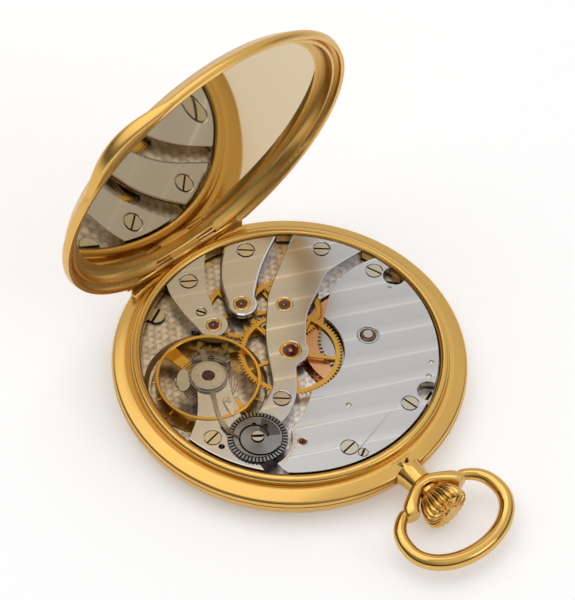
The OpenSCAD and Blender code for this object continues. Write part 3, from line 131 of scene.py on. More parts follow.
def start_material(name):
    """An empty material, its nodes, and the point on the piece, in the frame at rest."""
    material = bpy.data.materials.new(name)
    material.use_nodes = True
    tree = material.node_tree
    tree.nodes.clear()
    place = add_node(tree, "ShaderNodeTexCoord").outputs["Object"]
    return material, tree, place


def finish_material(tree, inputs):
    """Gives a material its surface, from the values and sockets of one shader."""
    shader = add_node(tree, "ShaderNodeBsdfPrincipled", inputs=inputs)
    add_node(tree, "ShaderNodeOutputMaterial", inputs={"Surface": shader.outputs[0]})


def finish_metal(tree, color, roughness, pattern, change, relief=0, depth=0):
    """Gives a metal its surface: roughness changes by a share as the pattern does, and with
    relief the surface rises and falls with it."""
    rough = add_node(
        tree,
        "ShaderNodeMapRange",
        inputs={
            "Value": pattern,
            "To Min": roughness * (1 - change),
            "To Max": roughness * (1 + change),
        },
    )
    inputs = {"Base Color": color, "Metallic": 1.0, "Roughness": rough.outputs[0]}
    if relief:
        bump = add_node(
            tree,
            "ShaderNodeBump",
            inputs={"Strength": relief, "Distance": depth, "Height": pattern},
        )
        inputs["Normal"] = bump.outputs[0]
    finish_material(tree, inputs)


def paint(names, material):
    """Gives the named pieces of the frame a material."""
    for name in names:
        for slot in NODES[name].material_slots:
            slot.material = material


def polar_place(tree, place, centre):
    """Radius and heading round an upright axis, with the height, as three sockets."""
    moved = add_node(
        tree, "ShaderNodeVectorMath", {"operation": "SUBTRACT"}, {0: place, 1: (*centre, 0)}
    )
    parts = add_node(tree, "ShaderNodeSeparateXYZ", inputs={0: moved.outputs[0]})
    across, along, height = parts.outputs
    flat = add_node(tree, "ShaderNodeCombineXYZ", inputs={"X": across, "Y": along})
    radius = add_node(
        tree, "ShaderNodeVectorMath", {"operation": "LENGTH"}, {0: flat.outputs[0]}
    ).outputs["Value"]
    heading = add_node(
        tree, "ShaderNodeMath", {"operation": "ARCTAN2"}, {0: along, 1: across}
    ).outputs[0]
    return radius, heading, height


def turned_grain(tree, place, centre, spacing):
    """Noise drawn out round an axis, as a lathe or a turning brush leaves it."""
    radius, heading, height = polar_place(tree, place, centre)
    drift = 1.5
    point = add_node(tree, "ShaderNodeCombineXYZ", inputs={"X": radius, "Y": heading, "Z": height})
    drawn = add_node(
        tree,
        "ShaderNodeVectorMath",
        {"operation": "MULTIPLY"},
        {0: point.outputs[0], 1: (1 / spacing, drift, 1 / spacing)},
    )
    return add_node(
        tree,
        "ShaderNodeTexNoise",
        inputs={"Vector": drawn.outputs[0], "Scale": 1.0, "Detail": 3.0, "Roughness": 0.6},
    ).outputs["Fac"]


def polished_gold(name, color, roughness, smudge):
    """Yellow gold, buffed by hand: deep reflections, a little broken by fine wear."""
    material, tree, place = start_material(name)
    wear = add_node(
        tree,
        "ShaderNodeTexNoise",
        inputs={"Vector": place, "Scale": 1 / smudge, "Detail": 6.0, "Roughness": 0.7},
    ).outputs["Fac"]
    finish_metal(tree, color, roughness, wear, change=0.4, relief=0.06, depth=0.02 * MM)
    return material


def turned_gold(name, color, roughness, spacing):
    """Yellow gold, satin turned: soft bright streaks that run round the case."""
    material, tree, place = start_material(name)
    grain = turned_grain(tree, place, (0, 0), spacing)
    finish_metal(tree, color, roughness, grain, change=0.25, relief=0.05, depth=0.01 * MM)
    return material


def cover_gold(settings, name, shine):
    """The cover's gold, satin turned round its rim. With shine, a mirror inside that radius."""
    material, tree, place = start_material(name)
    hinge = JOINTS["cover_hinge"]
    pivot = hinge["pos_m"]
    shut = add_node(
        tree,
        "ShaderNodeMapping",
        {"vector_type": "TEXTURE"},
        {
            "Vector": place,
            "Location": pivot,
            "Rotation": (math.radians(hinge["range_deg"][0]), 0, 0),
        },
    )
    shut = add_node(
        tree, "ShaderNodeVectorMath", {"operation": "ADD"}, {0: shut.outputs[0], 1: pivot}
    ).outputs[0]
    radius = polar_place(tree, shut, (0, 0))[0]
    # The mirror fades into the satin across this ring.
    fade_start, fade_end = settings.mirror_radius - 0.1 * MM, settings.mirror_radius + 0.3 * MM
    mirror = add_node(
        tree,
        "ShaderNodeMapRange",
        inputs={
            "Value": radius,
            "From Min": fade_start,
            "From Max": fade_end,
            "To Min": shine,
            "To Max": 0.0,
        },
    ).outputs[0]
    satin = add_node(
        tree,
        "ShaderNodeMapRange",
        inputs={
            "Value": turned_grain(tree, shut, (0, 0), settings.grain),
            "To Min": settings.satin,
            "To Max": settings.satin * 1.5,
        },
    ).outputs[0]
    roughness = add_node(
        tree, "ShaderNodeMix", inputs={"Factor": mirror, "A": satin, "B": 0.03}
    ).outputs[0]
    tint = add_node(
        tree,
        "ShaderNodeMix",
        {"data_type": "RGBA"},
        {"Factor": mirror, 6: (*settings.gold, 1), 7: (*settings.mirror_gold, 1)},
    ).outputs[2]
    finish_material(tree, {"Base Color": tint, "Metallic": 1.0, "Roughness": roughness})
    return material


def striped_rhodium(settings, name, bold):
    """Rhodium plated brass, ground in broad straight stripes: each stripe has painted shading across
    its width and ends in a painted bright line. The stripes show less where they are less bold."""
    material, tree, place = start_material(name)
    turned = add_node(
        tree,
        "ShaderNodeMapping",
        {"vector_type": "TEXTURE"},
        {"Vector": place, "Rotation": (0, 0, settings.stripe_heading)},
    ).outputs[0]
    parts = add_node(tree, "ShaderNodeSeparateXYZ", inputs={0: turned})
    across = add_node(
        tree,
        "ShaderNodeMath",
        {"operation": "MULTIPLY_ADD"},
        {0: parts.outputs["Y"], 1: 1 / settings.stripe_pitch, 2: settings.stripe_shift},
    ).outputs[0]
    stripe = add_node(tree, "ShaderNodeMath", {"operation": "FRACT"}, {0: across}).outputs[0]
    # Painted shade and highlight: each stripe darkens across its width and ends in a pale line.
    painted_stripe_shading = add_node(tree, "ShaderNodeValToRGB", inputs={"Fac": stripe})
    set_ramp(
        painted_stripe_shading,
        [
            (0.0, to_linear("#cac8c6")),
            (0.3, to_linear("#bfbdbc")),
            (0.88, to_linear("#c4c2c0")),
            (0.945, to_linear("#d8d6d3")),
            (0.985, to_linear("#d8d6d3")),
        ],
    )
    tone = add_node(
        tree,
        "ShaderNodeMix",
        {"data_type": "RGBA"},
        {"Factor": bold, 6: to_linear("#c3c0bd"), 7: painted_stripe_shading.outputs[0]},
    ).outputs[2]
    drawn_out = (0.04, 1, 1)
    stretched = add_node(
        tree, "ShaderNodeVectorMath", {"operation": "MULTIPLY"}, {0: turned, 1: drawn_out}
    )
    grain = add_node(
        tree,
        "ShaderNodeTexNoise",
        inputs={
            "Vector": stretched.outputs[0],
            "Scale": 1 / settings.grain,
            "Detail": 3.0,
            "Roughness": 0.65,
        },
    ).outputs["Fac"]
    arc = add_node(tree, "ShaderNodeValToRGB", inputs={"Fac": stripe})
    set_ramp(arc, [(0.0, grey(0.0)), (0.5, grey(0.6)), (0.96, grey(1.0)), (1.0, grey(0.0))])
    grain_share = 0.03
    height = add_node(
        tree,
        "ShaderNodeMath",
        {"operation": "MULTIPLY_ADD"},
        {0: grain, 1: grain_share, 2: arc.outputs[0]},
    )
    bump = add_node(
        tree,
        "ShaderNodeBump",
        inputs={
            "Strength": 0.5,
            "Distance": settings.stripe_depth * bold,
            "Height": height.outputs[0],
        },
    )
    rough = add_node(
        tree, "ShaderNodeMapRange", inputs={"Value": grain, "To Min": 0.2, "To Max": 0.26}
    )
    inputs = {
        "Base Color": tone,
        "Metallic": 1.0,
        "Roughness": rough.outputs[0],
        "Normal": bump.outputs[0],
    }
    finish_material(tree, inputs)
    return material


def pearl_layer(tree, settings, place, shift):
    """One grid of ground spots: the place from the nearest spot's middle, whether that spot
    covers it, and whether it lies in the lower half of the spot."""
    cell = Vector((settings.pearl_pitch, 2 * settings.pearl_row, 0))
    scaled = add_node(
        tree,
        "ShaderNodeVectorMath",
        {"operation": "MULTIPLY_ADD"},
        {0: place, 1: (1 / cell.x, 1 / cell.y, 1), 2: shift},
    )
    local = add_node(
        tree, "ShaderNodeVectorMath", {"operation": "FRACTION"}, {0: scaled.outputs[0]}
    )
    centred = add_node(
        tree,
        "ShaderNodeVectorMath",
        {"operation": "MULTIPLY_ADD"},
        {0: local.outputs[0], 1: cell, 2: -cell / 2},
    ).outputs[0]
    parts = add_node(tree, "ShaderNodeSeparateXYZ", inputs={0: centred})
    distance = add_node(tree, "ShaderNodeVectorMath", {"operation": "LENGTH"}, {0: centred})
    tests = []
    for value, limit in (
        (distance.outputs["Value"], settings.pearl_radius), (parts.outputs["Y"], 0.0)
    ):
        tests.append(
            add_node(tree, "ShaderNodeMath", {"operation": "LESS_THAN"}, {0: value, 1: limit})
        )
    return centred, tests[0].outputs[0], tests[1].outputs[0]


def pearl_spot(tree, settings, place):
    """The place from the middle of the spot on top, where each row laps over the last."""
    even, even_covers, even_lower = pearl_layer(tree, settings, place, (0, 0, 0))
    odd, odd_covers, _ = pearl_layer(tree, settings, place, (0.5, 0.5, 0))
    odd_shows = add_node(
        tree, "ShaderNodeMix", inputs={"Factor": even_lower, "A": odd_covers, "B": even_covers}
    ).outputs[0]
    flipped = add_node(
        tree, "ShaderNodeMath", {"operation": "SUBTRACT"}, {0: 1.0, 1: odd_shows}
    ).outputs[0]
    use_odd = add_node(
        tree, "ShaderNodeMix", inputs={"Factor": even_lower, "A": odd_shows, "B": flipped}
    ).outputs[0]
    return add_node(
        tree, "ShaderNodeMix", {"data_type": "VECTOR"}, {"Factor": use_odd, 4: even, 5: odd}
    ).outputs[1]


def pearled_rhodium(settings):
    """Rhodium plated brass, pearled: rows of ground spots, each over the edge of the last. Every spot
    is grained round its own middle, and its colour carries painted highlights in two opposite fans that
    face one fixed heading."""
    material, tree, straight = start_material("rhodium_pearled")
    wander_length, wander_reach, cloud_size = 1.6 * MM, 0.5 * MM, 1.1 * MM
    wander = add_node(
        tree,
        "ShaderNodeTexNoise",
        inputs={"Vector": straight, "Scale": 1 / wander_length, "Detail": 1.0},
    ).outputs["Color"]
    place = add_node(
        tree,
        "ShaderNodeVectorMath",
        {"operation": "MULTIPLY_ADD"},
        {0: wander, 1: (wander_reach, wander_reach, 0), 2: straight},
    ).outputs[0]
    spot = pearl_spot(tree, settings, place)
    heading = add_node(
        tree, "ShaderNodeVectorMath", {"operation": "NORMALIZE"}, {0: spot}
    ).outputs[0]
    # Heading of the fixed light that the painted highlight fans face.
    painted_light_heading = (0.35, 0.94, 0)
    across = add_node(
        tree, "ShaderNodeVectorMath", {"operation": "DOT_PRODUCT"}, {0: heading, 1: painted_light_heading}
    ).outputs["Value"]
    painted_fans = add_node(tree, "ShaderNodeMath", {"operation": "ABSOLUTE"}, {0: across}).outputs[0]
    clouded = add_node(
        tree,
        "ShaderNodeTexNoise",
        inputs={"Vector": place, "Scale": 1 / cloud_size, "Detail": 2.0},
    ).outputs["Fac"]
    # The cloud, taken from its middle, and the painted highlight fans add up to the shade.
    shade = -0.45
    for value, share in ((clouded, 1.3), (painted_fans, 0.7)):
        shade = add_node(
            tree,
            "ShaderNodeMath",
            {"operation": "MULTIPLY_ADD"},
            {0: value, 1: share, 2: shade},
        ).outputs[0]
    # Painted highlight: the ramp runs from grey-beige to near white where the fans stand.
    tone = add_node(tree, "ShaderNodeValToRGB", inputs={"Fac": shade})
    set_ramp(
        tone,
        [(0.0, to_linear("#aaa19c")), (0.5, to_linear("#bfb6b0")), (1.0, to_linear("#e6dfd8"))],
    )
    spot_radius = add_node(tree, "ShaderNodeVectorMath", {"operation": "LENGTH"}, {0: spot})
    rise = add_node(
        tree,
        "ShaderNodeMath",
        {"operation": "DIVIDE"},
        {0: spot_radius.outputs["Value"], 1: settings.pearl_radius},
    )
    bump = add_node(
        tree,
        "ShaderNodeBump",
        inputs={"Strength": 0.015, "Distance": settings.pearl_depth, "Height": rise.outputs[0]},
    )
    facing = add_node(tree, "ShaderNodeNewGeometry").outputs["Normal"]
    upward = add_node(tree, "ShaderNodeSeparateXYZ", inputs={0: facing}).outputs["Z"]
    flat = add_node(
        tree,
        "ShaderNodeMapRange",
        inputs={"Value": upward, "From Min": 0.93, "From Max": 0.985},
    ).outputs[0]
    # Walls and rounded edges are plain.
    color = add_node(
        tree,
        "ShaderNodeMix",
        {"data_type": "RGBA"},
        {"Factor": flat, 6: to_linear("#c4c2c4"), 7: tone.outputs[0]},
    ).outputs[2]
    inputs = {
        "Base Color": color,
        "Metallic": 1.0,
        "Roughness": 0.32,
        "Normal": bump.outputs[0],
    }
    finish_material(tree, inputs)
    return material


def painted_groove_shade(tree, place, color, name, depth):
    """A colour with painted shade in a piece's grooves: it turns dark below its top face."""
    height = add_node(tree, "ShaderNodeSeparateXYZ", inputs={0: place}).outputs["Z"]
    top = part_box(name)[1].z
    low = add_node(
        tree,
        "ShaderNodeMapRange",
        inputs={"Value": height, "From Min": top - 2 * depth, "From Max": top - depth},
    ).outputs[0]
    # Painted shade: the colour turns near-black brown below the top face, where shade falls in the
    # grooves.
    return add_node(
        tree,
        "ShaderNodeMix",
        {"data_type": "RGBA"},
        {"Factor": low, 6: to_linear("#2c2823"), 7: color},
    ).outputs[2]


def polished_metal(name, color, roughness, grooved=None, depth=0):
    """A plain metal, lapped or buffed: clean reflections with a faint cloud of handling. Below the top
    of a grooved piece it turns dark with painted shade."""
    material, tree, place = start_material(name)
    cloud_size = 0.6 * MM
    # Painted shade in the grooves of a grooved piece.
    if grooved:
        color = painted_groove_shade(tree, place, color, grooved, depth)
    cloud = add_node(
        tree,
        "ShaderNodeTexNoise",
        inputs={"Vector": place, "Scale": 1 / cloud_size, "Detail": 4.0},
    ).outputs["Fac"]
    finish_metal(tree, color, roughness, cloud, change=0.4)
    return material


def turned_metal(name, color, roughness, centre, spacing):
    """A metal grained round its own arbor, so that light fans out across it. The grain is drawn
    coarser than the real one, so that it shows."""
    material, tree, place = start_material(name)
    grain = turned_grain(tree, place, centre, spacing)
    finish_metal(tree, color, roughness, grain, change=0.3, relief=0.2, depth=0.01 * MM)
    return material


def banded_bush():
    """The barrel arbor and its bush, turned: a bright steel end in a copper ring in a polished
    collar, with dark seams between them."""
    material, tree, place = start_material("arbor_bush_bands")
    low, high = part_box("arbor_bush")
    centre = ((low.x + high.x) / 2, (low.y + high.y) / 2)
    bush_radius, grain_width = 1.5 * MM, 0.05 * MM
    radius = polar_place(tree, place, centre)[0]
    share = add_node(
        tree, "ShaderNodeMapRange", inputs={"Value": radius, "From Max": bush_radius}
    ).outputs[0]
    bands = add_node(tree, "ShaderNodeValToRGB", inputs={"Fac": share})
    bands.color_ramp.interpolation = "CONSTANT"
    set_ramp(
        bands,
        [
            (0.0, to_linear("#d8d4cc")),
            (0.27, to_linear("#2f2621")),
            (0.37, to_linear("#a86a4c")),
            (0.5, to_linear("#5f3b2c")),
            (0.62, to_linear("#2c2521")),
            (0.72, to_linear("#c9c6c1")),
        ],
    )
    grain = turned_grain(tree, place, centre, grain_width)
    finish_metal(tree, bands.outputs[0], 0.17, grain, change=0.3)
    return material


def fanned_steel(color):
    """Steel, snailed round the disc's middle: dark and bright fans that turn with the light, and
    painted shade in the grooves of its serration. The grain is drawn coarser than the real one, so that
    it shows."""
    material, tree, place = start_material("regulator_steel_snailed_painted_groove_shade")
    centre = JOINTS["regulator_turn"]["pos_m"][:2]
    grain_width, groove_depth = 0.05 * MM, 0.03 * MM
    grain = turned_grain(tree, place, centre, grain_width)
    rough = add_node(
        tree, "ShaderNodeMapRange", inputs={"Value": grain, "To Min": 0.2, "To Max": 0.3}
    )
    tangent = add_node(tree, "ShaderNodeTangent", {"direction_type": "RADIAL", "axis": "Z"})
    # The base colour carries painted shade in the disc's grooves.
    inputs = {
        "Base Color": painted_groove_shade(tree, place, color, "regulator_disc", groove_depth),
        "Metallic": 1.0,
        "Roughness": rough.outputs[0],
        "Anisotropic": 0.85,
        "Tangent": tangent.outputs[0],
    }
    finish_material(tree, inputs)
    return material


def ruby():
    """Synthetic ruby, polished: dark violet-red with a wet glint and redder clouds in its depth."""
    material, tree, place = start_material("synthetic_ruby")
    cloud_size = 0.5 * MM
    cloud = add_node(
        tree,
        "ShaderNodeTexNoise",
        inputs={"Vector": place, "Scale": 1 / cloud_size, "Detail": 2.0},
    ).outputs["Fac"]
    tint = add_node(tree, "ShaderNodeValToRGB", inputs={"Fac": cloud})
    set_ramp(tint, [(0.35, to_linear("#26040f")), (0.65, to_linear("#68102f"))])
    finish_material(tree, {"Base Color": tint.outputs[0], "Roughness": 0.06, "IOR": 1.6})
    return material


def crystal_glass():
    """Mineral glass, polished flat: clear, with a thin bright reflection."""
    material, tree, _ = start_material("mineral_glass")
    inputs = {
        "Base Color": to_linear("#f4f8f8"),
        "Roughness": 0.02,
        "IOR": 1.5,
        "Transmission Weight": 1.0,
    }
    finish_material(tree, inputs)
    return material


def fired_enamel(name, color):
    """Vitreous enamel: opaque, glassy, with a faint orange-peel."""
    material, tree, place = start_material(name)
    peel_size, peel_depth = 0.8 * MM, 0.02 * MM
    peel = add_node(
        tree,
        "ShaderNodeTexNoise",
        inputs={"Vector": place, "Scale": 1 / peel_size, "Detail": 2.0},
    ).outputs["Fac"]
    bump = add_node(
        tree, "ShaderNodeBump", inputs={"Strength": 0.05, "Distance": peel_depth, "Height": peel}
    )
    inputs = {
        "Base Color": color,
        "Roughness": 0.12,
        "Coat Weight": 0.6,
        "Coat Roughness": 0.05,
        "Normal": bump.outputs[0],
    }
    finish_material(tree, inputs)
    return material


def groups(items, neighbours):
    """Sorts items into the groups that their neighbours join."""
    left = dict.fromkeys(items)
    found = []
    while left:
        group = [left.popitem()[0]]
        for item in group:
            for other in neighbours(item):
                if other in left:
                    del left[other]
                    group.append(other)
        found.append(group)
    return found


def welded(name):
    """The frame's piece as one closed surface, with its flat faces whole again."""
    mesh = bmesh.new()
    mesh.from_mesh(NODES[name].data)
    bmesh.ops.remove_doubles(mesh, verts=mesh.verts, dist=0.001 * MM)
    bmesh.ops.dissolve_limit(
        mesh, angle_limit=math.radians(0.6), verts=mesh.verts, edges=mesh.edges
    )
    return mesh


def add_piece(name, mesh, finishes, body, replaced=(), sharp=35):
    """Puts a mesh in the scene as a smooth piece that rides on a body of the frame."""
    data = bpy.data.meshes.new(name)
    mesh.to_mesh(data)
    mesh.free()
    data.shade_smooth()
    data.set_sharp_from_angle(angle=math.radians(sharp))
    for finish in finishes:
        data.materials.append(finish)
    piece = bpy.data.objects.new(name, data)
    bpy.context.scene.collection.objects.link(piece)
    piece.modifiers.new("even_shading", "WEIGHTED_NORMAL").keep_sharp = True
    if replaced:
        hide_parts(*replaced)
    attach(piece, body)


def smooth_piece(name, finish, sharp):
    """The frame's piece again, its curves shaded as curves and not as flats."""
    body = body_of(NODES[name])[0]
    add_piece(name + "_smooth", welded(name), [finish], body, [name], sharp)


def upper_rims(mesh):
    """Loops of edges where an upward face meets a wall, leaving out edges too short to bevel."""
    level, steep, shortest = 0.99, 0.3, 0.004 * MM
    rims = []
    for edge in mesh.edges:
        if len(edge.link_faces) != 2 or not edge.is_convex or edge.calc_length() <= shortest:
            continue
        rises = [face.normal.z for face in edge.link_faces]
        if max(rises) > level and min(abs(rise) for rise in rises) < steep:
            rims.append(edge)
    return groups(rims, lambda edge: [near for vert in edge.verts for near in vert.link_edges])


def bevelled_piece(name, finishes, width, seat_width=None, seat_girth=0.0):
    """The frame's flat piece again, with polished bevels along the rims of its upper faces. A
    rim shorter than the seat girth, round a screw or jewel, gets the seat width."""
    mesh = welded(name)
    wide, narrow = [], []
    for loop in upper_rims(mesh):
        girth = sum(edge.calc_length() for edge in loop)
        (narrow if girth < seat_girth else wide).extend(loop)
    for loop_width, chosen in ((seat_width, narrow), (width, wide)):
        chosen = [edge for edge in chosen if edge.is_valid]
        if chosen and loop_width:
            bmesh.ops.bevel(
                mesh,
                geom=chosen,
                offset=loop_width,
                segments=2,
                profile=0.5,
                affect="EDGES",
                clamp_overlap=True,
                loop_slide=False,
                material=1,
            )
    flat = 0.999
    for face in mesh.faces:
        if face.normal.z > flat:
            face.material_index = 0
    body = body_of(NODES[name])[0]
    add_piece(name + "_bevelled", mesh, finishes, body, [name], sharp=18)


def skinned(forms, closed_ends=True):
    """A mesh of closed surfaces. Each form is a list of rings of points that its skin joins."""
    mesh = bmesh.new()
    for rings in forms:
        rows = [[mesh.verts.new(point) for point in ring] for ring in rings]
        for row, other in zip(rows, rows[1:]):
            for i in range(len(row)):
                j = (i + 1) % len(row)
                mesh.faces.new((row[i], row[j], other[j], other[i]))
        if closed_ends:
            mesh.faces.new(rows[0])
            mesh.faces.new(rows[-1])
    bmesh.ops.recalc_face_normals(mesh, faces=mesh.faces)
    return mesh


def spun(outline, axis, centre, steps):
    """Rings of points: an outline of radii and places along an axis, turned round that axis."""
    rings = []
    for radius, along in outline:
        ring = []
        for k in range(steps):
            angle = math.tau * k / steps
            point = [radius * math.cos(angle), radius * math.sin(angle)]
            point.insert("XYZ".index(axis), along)
            ring.append(centre + Vector(point))
        rings.append(ring)
    return rings


def rounded(angle, power):
    """Cosine and sine of a squared-off circle."""
    flat, tall = math.cos(angle), math.sin(angle)
    return (
        math.copysign(abs(flat) ** (2 / power), flat),
        math.copysign(abs(tall) ** (2 / power), tall),
    )


def directions(line):
    """At each point of a flat line, the unit direction in which it runs."""
    ahead = []
    for i in range(len(line)):
        before, after = line[max(i - 1, 0)], line[min(i + 1, len(line) - 1)]
        ahead.append(Vector((after[0] - before[0], after[1] - before[1])).normalized())
    return ahead


def cover_swing():
    """The turn that takes the cover from shut to where it stands open at rest."""
    hinge = JOINTS["cover_hinge"]
    pivot = Vector(hinge["pos_m"])
    turn = Matrix.Rotation(math.radians(hinge["range_deg"][0]), 4, "X")
    return Matrix.Translation(pivot) @ turn @ Matrix.Translation(-pivot)


def cover_mesh(settings):
    """The frame's cover, its plain lip drawn back inside the rim, where the rounded one goes."""
    mesh = welded("back_cover")
    swing = cover_swing()
    back = swing.inverted()
    rim = settings.rim_radius + 0.002 * MM
    inside = settings.rim_radius - 0.15 * MM
    lip_side = math.radians(-100)
    for vert in mesh.verts:
        place = back @ vert.co
        reach = math.hypot(place.x, place.y)
        if reach > rim and math.atan2(place.y, place.x) < lip_side:
            share = inside / reach
            vert.co = swing @ Vector((place.x * share, place.y * share, place.z))
    return mesh


def mirror_mesh(settings):
    """The cover's polished inside: a shallow dome, spun finely enough for clean reflections."""
    bands = 30
    edge = settings.mirror_radius - 0.3 * MM
    dish_radius = settings.rim_radius - 1.46 * MM
    sunk = 0.015 * MM
    thick = 0.1 * MM
    inner = []
    for i in range(1, bands + 1):
        radius = edge * i / bands
        drop = settings.mirror_dish * (radius / dish_radius) ** 2.6
        inner.append((radius, settings.mirror_height - drop - sunk))
    outer = [(radius, height + thick) for radius, height in reversed(inner)]
    mesh = skinned([spun(inner + outer, "Z", Vector(), 240)])
    mesh.transform(cover_swing())
    return mesh


def lip_mesh(settings):
    """The thumb lip: the rim's round edge, swelling out and back over the lip's length. Its
    underside is a little flatter than the rim's, so that it clears the case when shut."""
    root = settings.rim_radius - settings.rim_edge
    half_angle = settings.lip_length / root / 2
    sections, points = 48, 24
    top_share, under_share = 0.985, 0.79
    rings = []
    for i in range(sections + 1):
        share = 2 * i / sections - 1
        grow = abs(math.cos(share * math.pi / 2)) ** 1.5
        heading = settings.lip_heading + share * half_angle
        squareness = 2 + 1.5 * min(1, 4 * grow)
        ring = []
        for k in range(points + 1):
            out, up = rounded(math.pi * (k / points - 0.5), squareness)
            radius = root + (settings.rim_edge + settings.lip_reach * grow) * out
            height = settings.rim_height + settings.lip_rise * grow * max(0, up)
            height += settings.rim_edge * up * (top_share if up > 0 else under_share)
            ring.append((radius * math.cos(heading), radius * math.sin(heading), height))
        rings.append(ring)
    mesh = skinned([rings])
    mesh.transform(cover_swing())
    return mesh


def hinge_tube(settings, start, end):
    """One knuckle of the hinge: a round tube with softened ends."""
    radius = settings.knuckle + 0.02 * MM
    soft = 0.08 * MM
    outline = [
        (radius - soft, start), (radius, start + soft), (radius, end - soft), (radius - soft, end),
    ]
    return skinned([spun(outline, "X", Vector(JOINTS["cover_hinge"]["pos_m"]), 48)])


def bow_mesh(settings):
    """The bow: round wire, thicker at its far end, bent to a flattened ring that starts and ends
    square at the stirrup."""
    pivot = Vector(JOINTS["bow_swing"]["pos_m"])
    # A whole ring would reach this far past the pivots, where the stirrup closes it instead.
    past_pivots = 0.85 * MM
    middle = (settings.bow_reach - past_pivots) / 2
    half = settings.bow_reach - middle
    start = math.radians(-61)
    bends, sides = 92, 32
    edge = settings.bow_gap / 2
    end_share = 0.048
    line, shares = [(edge, 0)], [end_share]
    for i in range(bends + 1):
        angle = start + (math.pi - 2 * start) * i / bends
        x, v = rounded(angle, 2.5 if math.sin(angle) < 0 else 2)
        x, v = settings.bow_half * x, middle + half * v
        if abs(x) > edge + 0.1 * MM or v > middle:
            line.append((x, v))
            shares.append((i + 2) / (bends + 4))
    line.append((-edge, 0))
    shares.append(end_share)
    tilt = Matrix.Rotation(settings.bow_tilt, 3, "X")
    rings = []
    for (x, v), share, ahead in zip(line, shares, directions(line)):
        thicker = (settings.bow_wire - settings.bow_end) * math.sin(math.pi * share) ** 0.7
        radius = settings.bow_end + thicker
        ring = []
        for k in range(sides):
            aside = radius * math.cos(math.tau * k / sides)
            up = radius * math.sin(math.tau * k / sides)
            ring.append(pivot + tilt @ Vector((x + aside * ahead.y, -v + aside * ahead.x, up)))
        rings.append(ring)
    return skinned([rings])


def crown_mesh(settings):
    """The crown: bold rounded ribs that run over its cone, its widest edge and onto its face."""
    low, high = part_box("crown")
    centre = (low + high) / 2
    centre.y = high.y
    # Radius, distance from the case's side and depth of the valleys between ribs, in mm.
    outline = [
        (1.25, 0.0, 0), (1.25, 0.4, 0), (1.55, 0.5, 0.1), (1.95, 0.75, 0.2), (2.25, 1.1, 0.26),
        (2.45, 1.4, 0.3), (2.62, 1.75, 0.33), (2.78, 2.15, 0.35), (2.93, 2.6, 0.37),
        (3.03, 2.95, 0.38), (3.07, 3.3, 0.38), (3.04, 3.55, 0.37), (2.93, 3.78, 0.35),
        (2.74, 3.96, 0.32), (2.5, 4.07, 0.28), (2.2, 4.15, 0.24), (1.9, 4.22, 0.19),
        (1.62, 4.27, 0.12), (1.3, 4.29, 0), (1.18, 4.49, 0), (0.6, 4.49, 0),
    ]
    steps = settings.ribs * 16
    rings = []
    for (radius, along, depth), slope in zip(outline, directions(outline)):
        ring = []
        for k in range(steps):
            angle = math.tau * k / steps
            valley = (1 - abs(math.cos(settings.ribs * angle / 2))) * depth
            out = radius - slope.y * valley
            y = -along - slope.x * valley
            ring.append(centre + Vector((out * math.cos(angle), y, out * math.sin(angle))) * MM)
        rings.append(ring)
    return skinned([rings])


def stirrup_mesh():
    """The stirrup: one squared bar, bent round the crown, that widens into the bow's two seats."""
    pivot = Vector(JOINTS["bow_swing"]["pos_m"])
    # Place across and along the watch, half width and half thickness of the bar, in mm.
    half = [
        (0, -2.0, 0.75, 1.3), (0.8, -1.95, 0.76, 1.3), (1.5, -1.65, 0.8, 1.28),
        (2.2, -1.22, 0.86, 1.26), (2.9, -0.76, 0.93, 1.24), (3.45, -0.35, 1.0, 1.22),
        (3.82, 0.08, 1.03, 1.18), (4.0, 0.5, 1.0, 1.12), (4.06, 0.8, 0.95, 1.04),
        (4.08, 0.88, 0.86, 0.96),
    ]
    line = [(-x, v, wide, thick) for x, v, wide, thick in reversed(half[1:])] + half
    sides = 40
    rings = []
    for (x, v, wide, thick), ahead in zip(line, directions(line)):
        ring = []
        for k in range(sides):
            out, up = rounded(math.tau * k / sides, 3)
            aside = wide * out
            ring.append(
                pivot + Vector((x + aside * ahead.y, -v + aside * ahead.x, thick * up)) * MM
            )
        rings.append(ring)
    return skinned([rings])


def neck_mesh():
    """The neck: a short taper between the case and the stirrup."""
    outline = [
        (1.1, 4.9), (2.03, 4.8), (1.99, 4.66), (1.93, 4.45), (1.86, 4.1), (1.79, 3.6), (1.74, 3.1),
        (1.7, 2.4),
    ]
    outline = [(radius * MM, along * MM) for radius, along in outline]
    return skinned([spun(outline, "Y", Vector(JOINTS["bow_swing"]["pos_m"]), 96)])


def neck_root():
    """The end of the neck that sits in the case, as the frame has it."""
    mesh = welded("pendant")
    pivot = Vector(JOINTS["bow_swing"]["pos_m"])
    shoulder = pivot.y + 4.7 * MM
    cut = bmesh.ops.bisect_plane(
        mesh,
        geom=mesh.verts[:] + mesh.edges[:] + mesh.faces[:],
        plane_co=(0, shoulder, 0),
        plane_no=(0, -1, 0),
        clear_outer=True,
    )
    edges = [item for item in cut["geom_cut"] if isinstance(item, bmesh.types.BMEdge)]
    bmesh.ops.holes_fill(mesh, edges=edges)
    return mesh


def balance_rim(settings):
    """The balance's rim: a flat gilt hoop with softened edges."""
    pivot = JOINTS["balance_swing"]["pos_m"]
    low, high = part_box("balance_wheel")
    outer = (high.x - low.x) / 2
    inner = outer - settings.rim_width
    soft = 0.06 * MM
    outline = [
        (outer, low.z), (outer, high.z - soft), (outer - soft, high.z), (inner + soft, high.z),
        (inner, high.z - soft), (inner, low.z), (outer, low.z),
    ]
    rings = spun(outline, "Z", Vector((pivot[0], pivot[1], 0)), 180)
    return skinned([rings], closed_ends=False)


